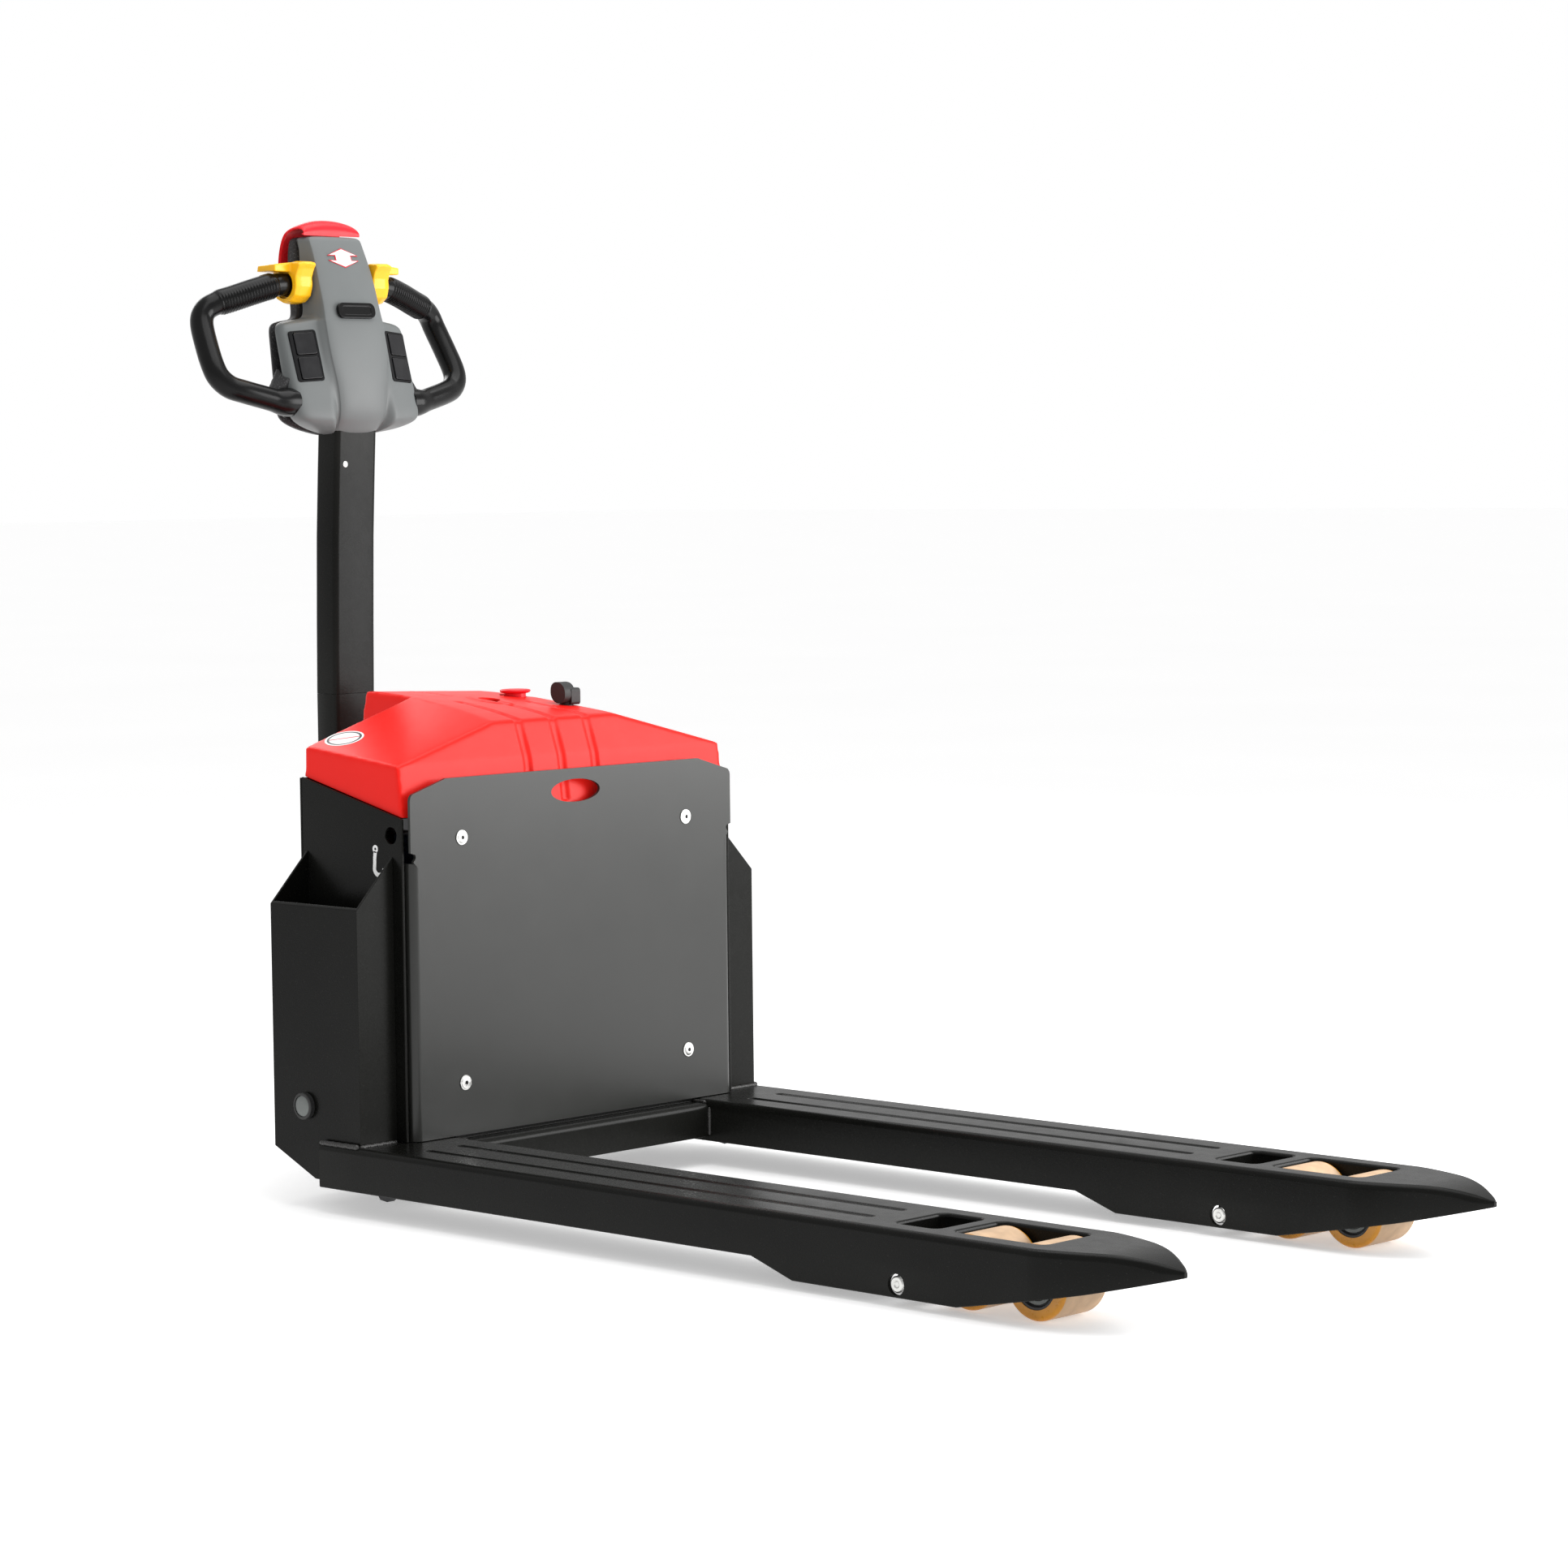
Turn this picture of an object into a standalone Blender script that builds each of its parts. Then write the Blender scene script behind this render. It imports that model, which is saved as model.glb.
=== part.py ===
"""Powered pallet jack (walkie pallet truck), lowered, tiller upright.

Sizes are in millimetres and measured from the front plate's face (x), the
centre plane (y) and the floor (z).  row() turns them into the row frame:
metres, +X along the forks towards the tips, +Z up, origin under the centre.
"""
import bpy
import bmesh
from math import atan2, cos, pi, radians, sin
from mathutils import Vector

MM = 0.001

# Driving dimensions
FORK_LENGTH = 1150.0        # front plate to fork tip
REAR_REACH = 487.0          # front plate to the rearmost point of the tiller head
FORK_SPREAD = 685.0         # over the outer sides of both forks
FORK_WIDTH = 140.0
FORK_TOP = 82.0             # lowered fork height
FORK_REAR = -90.0
SHEET = 4.0                 # body sheet steel
FORK_SHEET = 5.0
GAP = 0.4                   # between parts that touch

BODY_HALF = 272.0           # inner face of the side panels
PANEL_FRONT_TOP = 465.0
PANEL_REAR_TOP = 508.0
BODY_REAR = -187.0
POCKET_HALF = 334.0         # outer face of the side pockets
POCKET_REAR = -180.0

PIN_X, PIN_Z = 823.0, 24.0  # load roller arm pivot in the fork
BOGIE_X = 936.5             # middle of each tandem pair of load rollers
ROLLER_RADIUS = 40.0
ROLLER_PITCH = 91.0
LEVER = 34.0                # crank radius at both ends of a push rod
LEVER_LEAN = radians(29.5)
SHAFT_X, SHAFT_Z = -15.0, 57.0
REAR_LEVER = 106.6

STEER_X = -240.0
WHEEL_RADIUS = 105.0
PIVOT_X, PIVOT_Z = -421.0, 330.0    # tiller tilt pin
THROTTLE_X, THROTTLE_Z = -436.0, 1108.0

FORK_Y = (FORK_SPREAD - FORK_WIDTH) / 2
MIDDLE_X = (FORK_LENGTH - REAR_REACH) / 2
SIDES = (("left", 1), ("right", -1))

COLOURS = {
    "frame_paint": ((0.030, 0.030, 0.030), 0.55, 0.0),
    "plate_paint": ((0.090, 0.090, 0.088), 0.50, 0.0),
    "cover_plastic": ((0.80, 0.022, 0.016), 0.45, 0.0),
    "head_plastic": ((0.22, 0.235, 0.235), 0.45, 0.0),
    "dark_plastic": ((0.035, 0.035, 0.036), 0.60, 0.0),
    "button_plastic": ((0.012, 0.012, 0.013), 0.35, 0.0),
    "red_plastic": ((0.83, 0.025, 0.040), 0.40, 0.0),
    "yellow_plastic": ((1.0, 0.56, 0.02), 0.38, 0.0),
    "handle_plastic": ((0.010, 0.010, 0.010), 0.22, 0.0),
    "display_glass": ((0.008, 0.010, 0.010), 0.10, 0.0),
    "zinc": ((0.62, 0.63, 0.62), 0.32, 1.0),
    "cast_metal": ((0.10, 0.10, 0.105), 0.60, 0.4),
    "steel_rod": ((0.55, 0.56, 0.57), 0.30, 1.0),
    "polyurethane": ((0.80, 0.36, 0.03), 0.35, 0.0),
    "wheel_rubber": ((0.06, 0.055, 0.05), 0.60, 0.0),
    "battery_case": ((0.05, 0.07, 0.11), 0.50, 0.0),
    "black_rubber": ((0.015, 0.015, 0.015), 0.70, 0.0),
}


# ---------------------------------------------------------------- helpers
def row(point):
    """Millimetres from the plate, centre plane and floor to the row frame."""
    return Vector(((point[0] - MIDDLE_X) * MM, point[1] * MM, point[2] * MM))


def material(slot):
    found = bpy.data.materials.get(slot)
    if found:
        return found
    colour, roughness, metallic = COLOURS[slot]
    made = bpy.data.materials.new(slot)
    made.use_nodes = True
    shader = made.node_tree.nodes["Principled BSDF"]
    shader.inputs["Base Color"].default_value = (*colour, 1.0)
    shader.inputs["Roughness"].default_value = roughness
    shader.inputs["Metallic"].default_value = metallic
    made.diffuse_color = (*colour, 1.0)
    return made


def solid(name, mesh, slot, pivot=None):
    """Make a named object from a bmesh; pivot is the point on its joint axis."""
    origin = row(pivot) if pivot else Vector()
    bmesh.ops.recalc_face_normals(mesh, faces=mesh.faces)
    for vert in mesh.verts:
        vert.co = row(vert.co) - origin
    data = bpy.data.meshes.new(name)
    mesh.to_mesh(data)
    mesh.free()
    made = bpy.data.objects.new(name, data)
    made.location = origin
    bpy.context.scene.collection.objects.link(made)
    data.materials.append(material(slot))
    data.shade_smooth()
    data.set_sharp_from_angle(angle=radians(32))
    return made


def shape_with(target, mesh, operation):
    """Cut a bmesh from an object, or join it on, with a hidden helper object."""
    helper = solid("helper_" + target.name, mesh, "frame_paint")
    helper.hide_render = True
    helper.hide_set(True)
    helper.display_type = "WIRE"
    change = target.modifiers.new(operation.lower(), "BOOLEAN")
    change.operation = operation
    change.object = helper
    return target


def cut(target, mesh):
    return shape_with(target, mesh, "DIFFERENCE")


def join(target, mesh):
    return shape_with(target, mesh, "UNION")


def soften(target, width, segments=1):
    bevel = target.modifiers.new("soften", "BEVEL")
    bevel.width = width * MM
    bevel.segments = segments
    bevel.limit_method = "ANGLE"
    bevel.angle_limit = radians(50)
    bevel.harden_normals = False
    return target


def loft(sections, closed=False):
    """Skin between outlines with the same number of points."""
    mesh = bmesh.new()
    rings = [[mesh.verts.new(point) for point in section] for section in sections]
    count = len(rings[0])
    pairs = list(zip(rings, rings[1:]))
    if closed:
        pairs.append((rings[-1], rings[0]))
    for first, second in pairs:
        for index in range(count):
            after = (index + 1) % count
            mesh.faces.new((first[index], first[after], second[after], second[index]))
    if not closed:
        mesh.faces.new(rings[0])
        mesh.faces.new(reversed(rings[-1]))
    return mesh


def prism(outline, axis, low, high):
    """Extrude an outline along X, Y or Z; its points leave that axis out."""
    place = {
        "X": lambda a, b, depth: (depth, a, b),
        "Y": lambda a, b, depth: (a, depth, b),
        "Z": lambda a, b, depth: (a, b, depth),
    }[axis]
    return loft([[place(a, b, depth) for a, b in outline] for depth in (low, high)])


def box(low, high):
    outline = [(low[0], low[1]), (high[0], low[1]), (high[0], high[1]), (low[0], high[1])]
    return prism(outline, "Z", low[2], high[2])


def hull(points):
    mesh = bmesh.new()
    verts = [mesh.verts.new(point) for point in points]
    result = bmesh.ops.convex_hull(mesh, input=verts)
    spare = [item for item in result["geom_interior"] if isinstance(item, bmesh.types.BMVert)]
    bmesh.ops.delete(mesh, geom=spare, context="VERTS")
    bmesh.ops.dissolve_limit(mesh, angle_limit=radians(0.3), verts=mesh.verts, edges=mesh.edges)
    return mesh


def arc(centre, radius, start, end, steps):
    """Points on an arc, in degrees, from start to end."""
    turn = [radians(start + (end - start) * step / steps) for step in range(steps + 1)]
    return [(centre[0] + radius * cos(angle), centre[1] + radius * sin(angle)) for angle in turn]


def rounded(low, high, radius, steps=3):
    """Outline of a rectangle with round corners."""
    corners = ((high[0] - radius, high[1] - radius, 0), (low[0] + radius, high[1] - radius, 90),
               (low[0] + radius, low[1] + radius, 180), (high[0] - radius, low[1] + radius, 270))
    outline = []
    for across, up, start in corners:
        outline += arc((across, up), radius, start, start + 90, steps)
    return outline


def ring_points(centre, axis, along, radius, segments):
    points = []
    for index in range(segments):
        angle = 2 * pi * index / segments
        first, second = radius * cos(angle), radius * sin(angle)
        points.append({
            "X": (centre[0] + along, centre[1] + first, centre[2] + second),
            "Y": (centre[0] + first, centre[1] + along, centre[2] + second),
            "Z": (centre[0] + first, centre[1] + second, centre[2] + along),
        }[axis])
    return points


def turned(profile, centre, axis, bore=0.0, segments=24):
    """Turn (along, radius) steps about an axis, with a bore right through if asked."""
    sections = [ring_points(centre, axis, along, radius, segments) for along, radius in profile]
    if not bore:
        return loft(sections)
    ends = (profile[-1][0], profile[0][0])
    sections += [ring_points(centre, axis, along, bore, segments) for along in ends]
    return loft(sections, closed=True)


def disc(centre, axis, low, high, radius, segments=24):
    return turned([(low, radius), (high, radius)], centre, axis, segments=segments)


# ------------------------------------------------------------------ forks
FORK_STATIONS = (            # x, half width, top, bottom
    (FORK_REAR, 70, FORK_TOP, 30), (614, 70, FORK_TOP, 30), (674, 70, FORK_TOP, 10),
    (905, 70, FORK_TOP, 10), (1005, 70, FORK_TOP, 29), (1030, 66, FORK_TOP, 33.5),
    (1060, 55, 80, 39), (1092, 41, 76.5, 46), (1120, 26, 72, 53), (1140, 13, 68, 58),
    (FORK_LENGTH, 5, 65, 60))


def fork_section(x, half, top, bottom, middle):
    edge = min(9.0, (top - bottom) / 2)
    shoulder = [(half, bottom), (half, top - edge), (half - edge * 0.3, top - edge * 0.3),
                (half - edge, top)]
    outline = shoulder + [(-across, up) for across, up in reversed(shoulder)]
    return [(x, middle + across, up) for across, up in outline]


def fork(name, side):
    """Folded channel, open underneath, with a closed nose and two windows."""
    middle = side * FORK_Y
    shell = solid(name, loft([fork_section(*station, middle) for station in FORK_STATIONS]),
                  "frame_paint")
    inside = FORK_WIDTH / 2 - FORK_SHEET
    ceiling = FORK_TOP - FORK_SHEET
    room = ((FORK_REAR + FORK_SHEET, inside, ceiling), (1000, inside, ceiling), (1044, 54, 72))
    hollow = [[(x, middle - half, -10), (x, middle + half, -10), (x, middle + half, top),
               (x, middle - half, top)] for x, half, top in room]
    cut(shell, loft(hollow))
    for low, high in ((794, 853), (875, 998)):
        window = rounded((low, middle - 39), (high, middle + 39), 9)
        cut(shell, prism(window, "Z", 60, 90))
    for offset in (-25, 25):
        groove = rounded((50, middle + offset - 5.5), (752, middle + offset + 5.5), 5, 2)
        cut(shell, prism(groove, "Z", FORK_TOP - 1.5, 90))
    inner = side * (FORK_Y - FORK_WIDTH / 2)
    shaft_hole = disc((SHAFT_X, inner, SHAFT_Z), "Y", -12, 12, 16.5, 16)
    cut(shell, shaft_hole)
    cut(shell, disc((PIN_X, middle, PIN_Z), "Y", -80, 80, 9.4, 16))


def arm_pin(name, side):
    middle = side * FORK_Y
    half = FORK_WIDTH / 2
    solid(name, disc((PIN_X, middle, PIN_Z), "Y", -half, half, 9.0, 16), "zinc")


def cross_member():
    """Folded lip between the forks, with an upstand behind the front plate."""
    half = FORK_Y - FORK_WIDTH / 2 - GAP
    outline = [(-20, 73), (17, 73), (17, 36), (22, 36)]
    outline += arc((14, 70), 8, 0, 90, 3)
    outline += [(-4.6, 78), (-4.6, 98), (-8.6, 98), (-8.6, 78), (-20, 78)]
    solid("cross_member", prism(outline, "Y", -half, half), "frame_paint")


# ------------------------------------------------------------------- body
BOLT_HALF, BOLT_TOP, BOLT_BOTTOM = 189.0, 438.5, 145.5
PLATE_HALF = 268.0


def front_plate():
    """Sheet with chamfered corners, notches, a hand hole and side flanges."""
    right_edge = [(PLATE_HALF, 90), (PLATE_HALF, 414)] + arc((266, 420), 4, 225, 135, 3)
    right_edge += [(270, 425), (270, 478)] + arc((260, 486), 10, 0, 55, 3)
    right_edge += arc((212, 501), 9, 60, 90, 2)
    outline = right_edge + [(-across, up) for across, up in reversed(right_edge)]
    plate = solid("front_plate", prism(outline, "X", -SHEET, 0), "plate_paint")
    hand_hole = [(41 * cos(angle), 483 + 14 * sin(angle))
                 for angle in (2 * pi * step / 28 for step in range(28))]
    cut(plate, prism(hand_hole, "X", -20, 20))
    for side in (-1, 1):
        edges = sorted((side * (PLATE_HALF - SHEET), side * PLATE_HALF))
        join(plate, box((-24, edges[0], 90), (-SHEET + 1, edges[1], 412)))
    soften(plate, 0.8)


def plate_bolts():
    places = [(side * BOLT_HALF, up) for up in (BOLT_TOP, BOLT_BOTTOM) for side in (1, -1)]
    for number, (across, up) in enumerate(places, 1):
        head = [(GAP, 9.0), (1.4, 9.0), (2.6, 6.5)]
        bolt = solid(f"plate_bolt_{number}", turned(head, (0, across, up), "X", segments=16), "zinc")
        cut(bolt, disc((0, across, up), "X", 1.6, 5, 2.8, 6))


def side_panel(name, side):
    faces = sorted((side * BODY_HALF, side * (BODY_HALF + SHEET)))
    bottom = FORK_TOP + GAP
    outline = [(-9, bottom), (-9, PANEL_FRONT_TOP), (BODY_REAR, PANEL_REAR_TOP), (BODY_REAR, bottom)]
    panel = solid(name, prism(outline, "Y", *faces), "frame_paint")
    cut(panel, disc((-28, faces[0], 445), "Y", -5, 10, 10, 16))


def side_pocket(name, side):
    """Open-topped sheet pocket on the outer side of a side panel."""
    inner, outer, wall = BODY_HALF + SHEET + GAP, POCKET_HALF, 3.0
    floor = FORK_TOP + GAP
    outline = [(inner, floor), (outer, floor), (outer, 361), (inner, 420)]
    body = prism([(side * across, up) for across, up in outline], "X", POCKET_REAR, -25)
    pocket = solid(name, body, "frame_paint")
    tail = [(POCKET_REAR, 90), (POCKET_REAR, 70), (-107, 37), (FORK_REAR - 8, 37), (FORK_REAR - 8, 90)]
    join(pocket, prism(tail, "Y", *sorted((side * (outer - wall), side * outer))))
    room = sorted((side * (inner - 5), side * (outer - wall)))
    cut(pocket, box((POCKET_REAR + wall, room[0], floor + wall), (-25 - wall, room[1], 430)))
    cap = disc((-122, side * outer, 123), "Y", *sorted((-side * 2.0, side * 3.0)), 12.5, 20)
    join(pocket, cap)


def rear_bulkhead():
    """Rear sheet with a bay for the drive unit."""
    half, bay = BODY_HALF + SHEET, 125
    right = [(half, 40), (half, PANEL_REAR_TOP - 1), (-half, PANEL_REAR_TOP - 1), (-half, 40)]
    notch = half - 168
    outline = right[:2] + [(notch, PANEL_REAR_TOP - 1), (notch, 474), (-notch, 474),
                           (-notch, PANEL_REAR_TOP - 1)] + right[2:]
    outline += [(-bay, 40), (-bay, 456), (bay, 456), (bay, 40)]
    solid("rear_bulkhead", prism(outline, "X", BODY_REAR - GAP - 3, BODY_REAR - GAP), "frame_paint")


def battery_tray():
    half = BODY_HALF - GAP
    solid("battery_tray", box((-100, -half, 124), (-26, half, 128)), "frame_paint")


def inside_box(name, low, high, slot, edge=3.0):
    soften(solid(name, box(low, high), slot), edge)


def lift_crossbeam():
    """Beam between the side panels with the lift ram hanging from it."""
    half = BODY_HALF - GAP
    beam = solid("lift_crossbeam", box((-148, -half, 455), (-108, half, 477)), "frame_paint")
    join(beam, disc((-128, 0, 0), "Z", 300, 460, 14.0, 20))


COVER_HALF = 270.5
CROWN_FRONT, CROWN_RISE = -37.0, 30.0


def crown(x):
    """Height of the cover's flat crown, which levels off towards the rear."""
    return 570 + CROWN_RISE * (1 - (1 - (CROWN_FRONT - x) / 250) ** 2)


def cover_points(inset):
    """Corners of the winged part of the cover, and of the space inside it."""
    drop = inset * 3.0 if inset else 0.0
    sides = []
    for sign in (1, -1):
        wide, ridge = sign * (COVER_HALF - inset), sign * (102 - inset * 0.4)
        sides += [(-12 - inset, wide, 466 - drop), (BODY_REAR + inset, wide, 509 - drop),
                  (-21 - inset, wide, 525 - inset), (-184 + inset, wide, 543 - inset),
                  (-186 + inset, ridge, crown(-186) - inset)]
        sides += [(x - inset, ridge, crown(x) - inset) for x in (CROWN_FRONT, -80, -130)]
    return sides


def hump_points(inset):
    sides = []
    for sign in (1, -1):
        for x in (-120, -160, -210, -272 + inset):
            sides.append((x, sign * (97 - inset), crown(x) - inset - 0.2))
        sides += [(x, sign * (102 - inset), 478 - inset * 2) for x in (-120, -290 + inset)]
    return sides


def top_cover():
    """Moulded cover: two wings, a flat crown and a hump over the drive motor."""
    cover = solid("top_cover", hull(cover_points(0)), "cover_plastic")
    join(cover, hull(hump_points(0)))
    cut(cover, hull(cover_points(3.0)))
    cut(cover, hull(hump_points(3.0)))
    join(cover, disc((-150, 0, 0), "Z", 562, 590, 19.0, 20))
    key_hole = [(550, 12.6), (588.6, 12.6), (588.6, 15.5), (620, 15.5)]
    cut(cover, turned(key_hole, (-150, 0, 0), "Z", segments=20))
    cut(cover, disc((-190, 80, 0), "Z", 560, 620, 10.6, 20))
    cut(cover, disc((-107, 90, 0), "Z", 550, 620, 9.0, 16))


# --------------------------------------------------------- load rollers
def lever_point(pivot_x, pivot_z, above):
    """Where a push rod's eye sits on a crank that leans backwards at rest."""
    reach = LEVER if above else -LEVER
    return pivot_x - abs(reach) * sin(LEVER_LEAN), pivot_z + reach * cos(LEVER_LEAN)


def link_outline(first, second, radius, steps=6):
    """Outline of a flat link with two round ends."""
    heading = atan2(second[1] - first[1], second[0] - first[0]) * 180 / pi
    return (arc(second, radius, heading - 90, heading + 90, steps)
            + arc(first, radius, heading + 90, heading + 270, steps))


def rocker_shaft():
    """Cross shaft with a lever in each fork and two levers to the drive frame."""
    half = FORK_Y + 20
    pivot = (SHAFT_X, 0, SHAFT_Z)
    shaft = solid("rocker_shaft", disc(pivot, "Y", -half, half, 14.0, 16), "cast_metal", pivot)
    centre = (SHAFT_X, SHAFT_Z)
    ear = lever_point(SHAFT_X, SHAFT_Z, above=False)
    tail = (SHAFT_X - REAR_LEVER * cos(LEVER_LEAN), SHAFT_Z + REAR_LEVER * sin(LEVER_LEAN))
    for side in (1, -1):
        span = sorted((side * (FORK_Y + 8), side * half))
        join(shaft, prism(link_outline(centre, ear, 16, 4), "Y", *span))
        span = sorted((side * 152, side * 160))
        join(shaft, prism(link_outline(centre, tail, 10, 3), "Y", *span))


def push_rod(name, side):
    rear = lever_point(SHAFT_X, SHAFT_Z, above=False)
    front = lever_point(PIN_X, PIN_Z, above=True)
    span = sorted((side * (FORK_Y - 7), side * (FORK_Y + 7)))
    outline = link_outline(rear, front, 9, 4)
    solid(name, prism(outline, "Y", *span), "cast_metal", (rear[0], side * FORK_Y, rear[1]))


def roller_arm(name, side):
    """Two cheeks on the fork pin, joined by a bush, carrying the bogie."""
    middle = side * FORK_Y
    pivot = (PIN_X, middle, PIN_Z)
    cheek = link_outline((PIN_X, PIN_Z), (BOGIE_X, ROLLER_RADIUS), 13, 4)
    arm = solid(name, prism(cheek, "Y", middle + 49, middle + 55), "cast_metal", pivot)
    join(arm, prism(cheek, "Y", middle - 55, middle - 49))
    join(arm, disc(pivot, "Y", -52, 52, 12.5, 16))
    ear = link_outline((PIN_X, PIN_Z), lever_point(PIN_X, PIN_Z, above=True), 10, 4)
    for offset in (-17, 9):
        join(arm, prism(ear, "Y", middle + offset, middle + offset + 8))
    cut(arm, disc(pivot, "Y", -60, 60, 9.4, 16))
    cut(arm, disc((BOGIE_X, middle, ROLLER_RADIUS), "Y", -60, 60, 5.4, 12))


def bogie(name, side):
    """Rocking frame that holds two rollers in tandem."""
    middle = side * FORK_Y
    pivot = (BOGIE_X, middle, ROLLER_RADIUS)
    half = ROLLER_PITCH / 2
    plate = link_outline((BOGIE_X - half, ROLLER_RADIUS), (BOGIE_X + half, ROLLER_RADIUS), 15, 4)
    frame = solid(name, prism(plate, "Y", middle + 41, middle + 46), "zinc", pivot)
    join(frame, prism(plate, "Y", middle - 46, middle - 41))
    join(frame, disc(pivot, "Y", -57, 57, 5.0, 12))
    for offset in (-half, half):
        axle = (BOGIE_X + offset, middle, ROLLER_RADIUS)
        join(frame, disc(axle, "Y", -45, 45, 8.5, 12))


def load_roller(name, side, offset):
    centre = (BOGIE_X + offset, side * FORK_Y, ROLLER_RADIUS)
    profile = [(-36, 30), (-36, 38), (-33, ROLLER_RADIUS), (33, ROLLER_RADIUS), (36, 38), (36, 30),
               (34, 30), (34, 20)]
    body = turned([(-34, 20), (-34, 30)] + profile, centre, "Y", bore=9.0, segments=32)
    solid(name, body, "polyurethane", centre)


# ------------------------------------------------------------ drive unit
def drive_frame():
    """Plate that carries the steering bearing, with legs to the rear levers."""
    plate = [(-105, -150), (-105, 150), (-176, 150), (-180, 112)]
    plate += arc((STEER_X, 0), 112, 90, 270, 8) + [(-180, -112), (-176, -150)]
    pivot = (-128, 0, 276)
    frame = solid("drive_frame", prism(plate, "Z", 266, 286), "frame_paint", pivot)
    for side in (1, -1):
        legs = sorted((side * 132, side * 150))
        join(frame, box((-140, legs[0], 100), (-112, legs[1], 270)))
    cut(frame, disc((STEER_X, 0, 0), "Z", 200, 300, 60, 24))


def drive_unit():
    centre = (STEER_X, 0, 0)
    ring = turned([(250.5, 92), (265.6, 92)], centre, "Z", bore=62, segments=28)
    solid("slewing_ring", ring, "steel_rod", (STEER_X, 0, 258))
    axle = (STEER_X, 0, WHEEL_RADIUS)
    pivot = (STEER_X, 0, 240)
    head = turned([(218, 80), (222, 88), (250, 88), (250, 55), (289.6, 55)], centre, "Z", segments=28)
    housing = solid("gearbox_housing", head, "cast_metal", pivot)
    cheek = arc((STEER_X, WHEEL_RADIUS), 56, 180, 360, 8) + [(STEER_X + 60, 235), (STEER_X - 60, 235)]
    join(housing, prism(cheek, "Y", 34, 62))
    join(housing, disc(axle, "Y", -49, 40, 18.0, 16))
    body = [(290, 78), (302, 78), (302.1, 64), (310, 66), (445, 66), (452, 60), (452.1, 40),
            (498, 40), (504, 35)]
    solid("drive_motor", turned(body, centre, "Z", segments=28), "cast_metal", pivot)
    wheel_guard(pivot)
    hub = [(-38, 60), (-38, 80), (14, 80), (14, 60), (2, 56), (2, 30), (18, 30)]
    solid("drive_hub", turned([(-44, 30), (-26, 56)] + hub, axle, "Y", bore=18.4, segments=28),
          "cast_metal", (STEER_X, -12, WHEEL_RADIUS))
    tread = [(-44, 80.4), (-47, 96), (-42, WHEEL_RADIUS), (18, WHEEL_RADIUS), (23, 96), (20, 80.4)]
    solid("drive_tyre", turned(tread, axle, "Y", bore=80.4, segments=32), "wheel_rubber",
          (STEER_X, -12, WHEEL_RADIUS))


def wheel_guard(pivot):
    """Curved foot guard behind the drive wheel."""
    outline = [(90, 244.6), (90, 248.6), (130, 248.6), (130, 60), (126, 60), (126, 244.6)]
    sections = []
    for step in range(13):
        angle = radians(105 + 150 * step / 12)
        sections.append([(STEER_X + radius * cos(angle), radius * sin(angle), up)
                         for radius, up in outline])
    solid("wheel_guard", loft(sections), "dark_plastic", pivot)


def lift_cylinder():
    tube = turned([(286.6, 30), (296, 30), (296.1, 25), (432, 25), (440, 22)], (-128, 0, 0), "Z")
    barrel = solid("lift_cylinder", tube, "frame_paint", (-128, 0, 276))
    cut(barrel, disc((-128, 0, 0), "Z", 298, 460, 14.6, 20))


# ---------------------------------------------------------------- tiller
def tiller_bracket():
    pivot = (STEER_X, 0, 240)
    back = box((-347, -45.5, 303), (-335, 45.5, 352))
    bracket = solid("tiller_bracket", back, "cast_metal", pivot)
    cheek = [(-340, 303), (-340, 352)] + arc((PIVOT_X, PIVOT_Z), 20, 90, 270, 6)
    for side in (1, -1):
        span = sorted((side * 36, side * 45.5))
        join(bracket, prism(cheek, "Y", *span))
    join(bracket, box((-345, -45.5, 302.5), (-280, 45.5, 312)))
    cut(bracket, disc((STEER_X, 0, 0), "Z", 300, 320, 66.5, 40))
    cut(bracket, disc((PIVOT_X, 0, PIVOT_Z), "Y", -50, 50, 8.4, 16))
    solid("tiller_pin", disc((PIVOT_X, 0, PIVOT_Z), "Y", -49, 49, 8.0, 16), "zinc", pivot)


TILLER_PATH = ((590.4, -421.5), (680, -419.8), (790, -416.8), (870, -412.6), (930, -409.0))


def tiller_stem():
    pivot = (PIVOT_X, 0, PIVOT_Z)
    outline = [(-401, 590), (-442, 590)] + arc((PIVOT_X, PIVOT_Z), 21, 180, 360, 8)
    base = solid("tiller_base", prism(outline, "Y", -33.5, 33.5), "dark_plastic", pivot)
    cut(base, disc(pivot, "Y", -50, 50, 8.4, 16))
    sections = []
    for inset, path in ((0, TILLER_PATH), (3, TILLER_PATH[::-1])):
        for up, middle in path:
            corners = rounded((middle - 20.5 + inset, -34 + inset), (middle + 20.5 - inset, 34 - inset),
                              6 - inset, 2)
            sections.append([(x, y, up) for x, y in corners])
    solid("tiller_tube", loft(sections, closed=True), "frame_paint", pivot)


HEAD_STATIONS = (       # z, ridge x, front x, half width, seam x, rear x
    (931, -386, -400, 52, -420, -440), (941, -377, -396, 88, -421, -446),
    (957, -374, -393, 102, -422, -450), (1000, -379, -399, 103, -425, -456),
    (1047, -385, -412, 101, -430, -462), (1060, -387, -414, 88, -433, -464),
    (1068, -388, -408, 50, -435, -466), (1110, -397, -408, 47, -440, -470),
    (1150, -411, -422, 46, -446, -472), (1170, -422, -430, 44, -448, -466))
HEAD_WALL = 3.0


def head_half(station, front, inset):
    """Half outline of the head at one height, front or rear of the seam."""
    up, ridge, face, half, seam, rear = station
    wide = half - inset
    if front:
        return [(seam + GAP / 2, wide), (face - 9, wide), (face - inset, wide - 9),
                (min(face + 4, ridge - 4) - inset, min(44, wide - 10)), (ridge - inset, 24)]
    return [(seam - GAP / 2, wide), (seam - 12, wide), (rear + 12 + inset, min(42, wide - 2)),
            (rear + inset, 22)]


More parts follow.
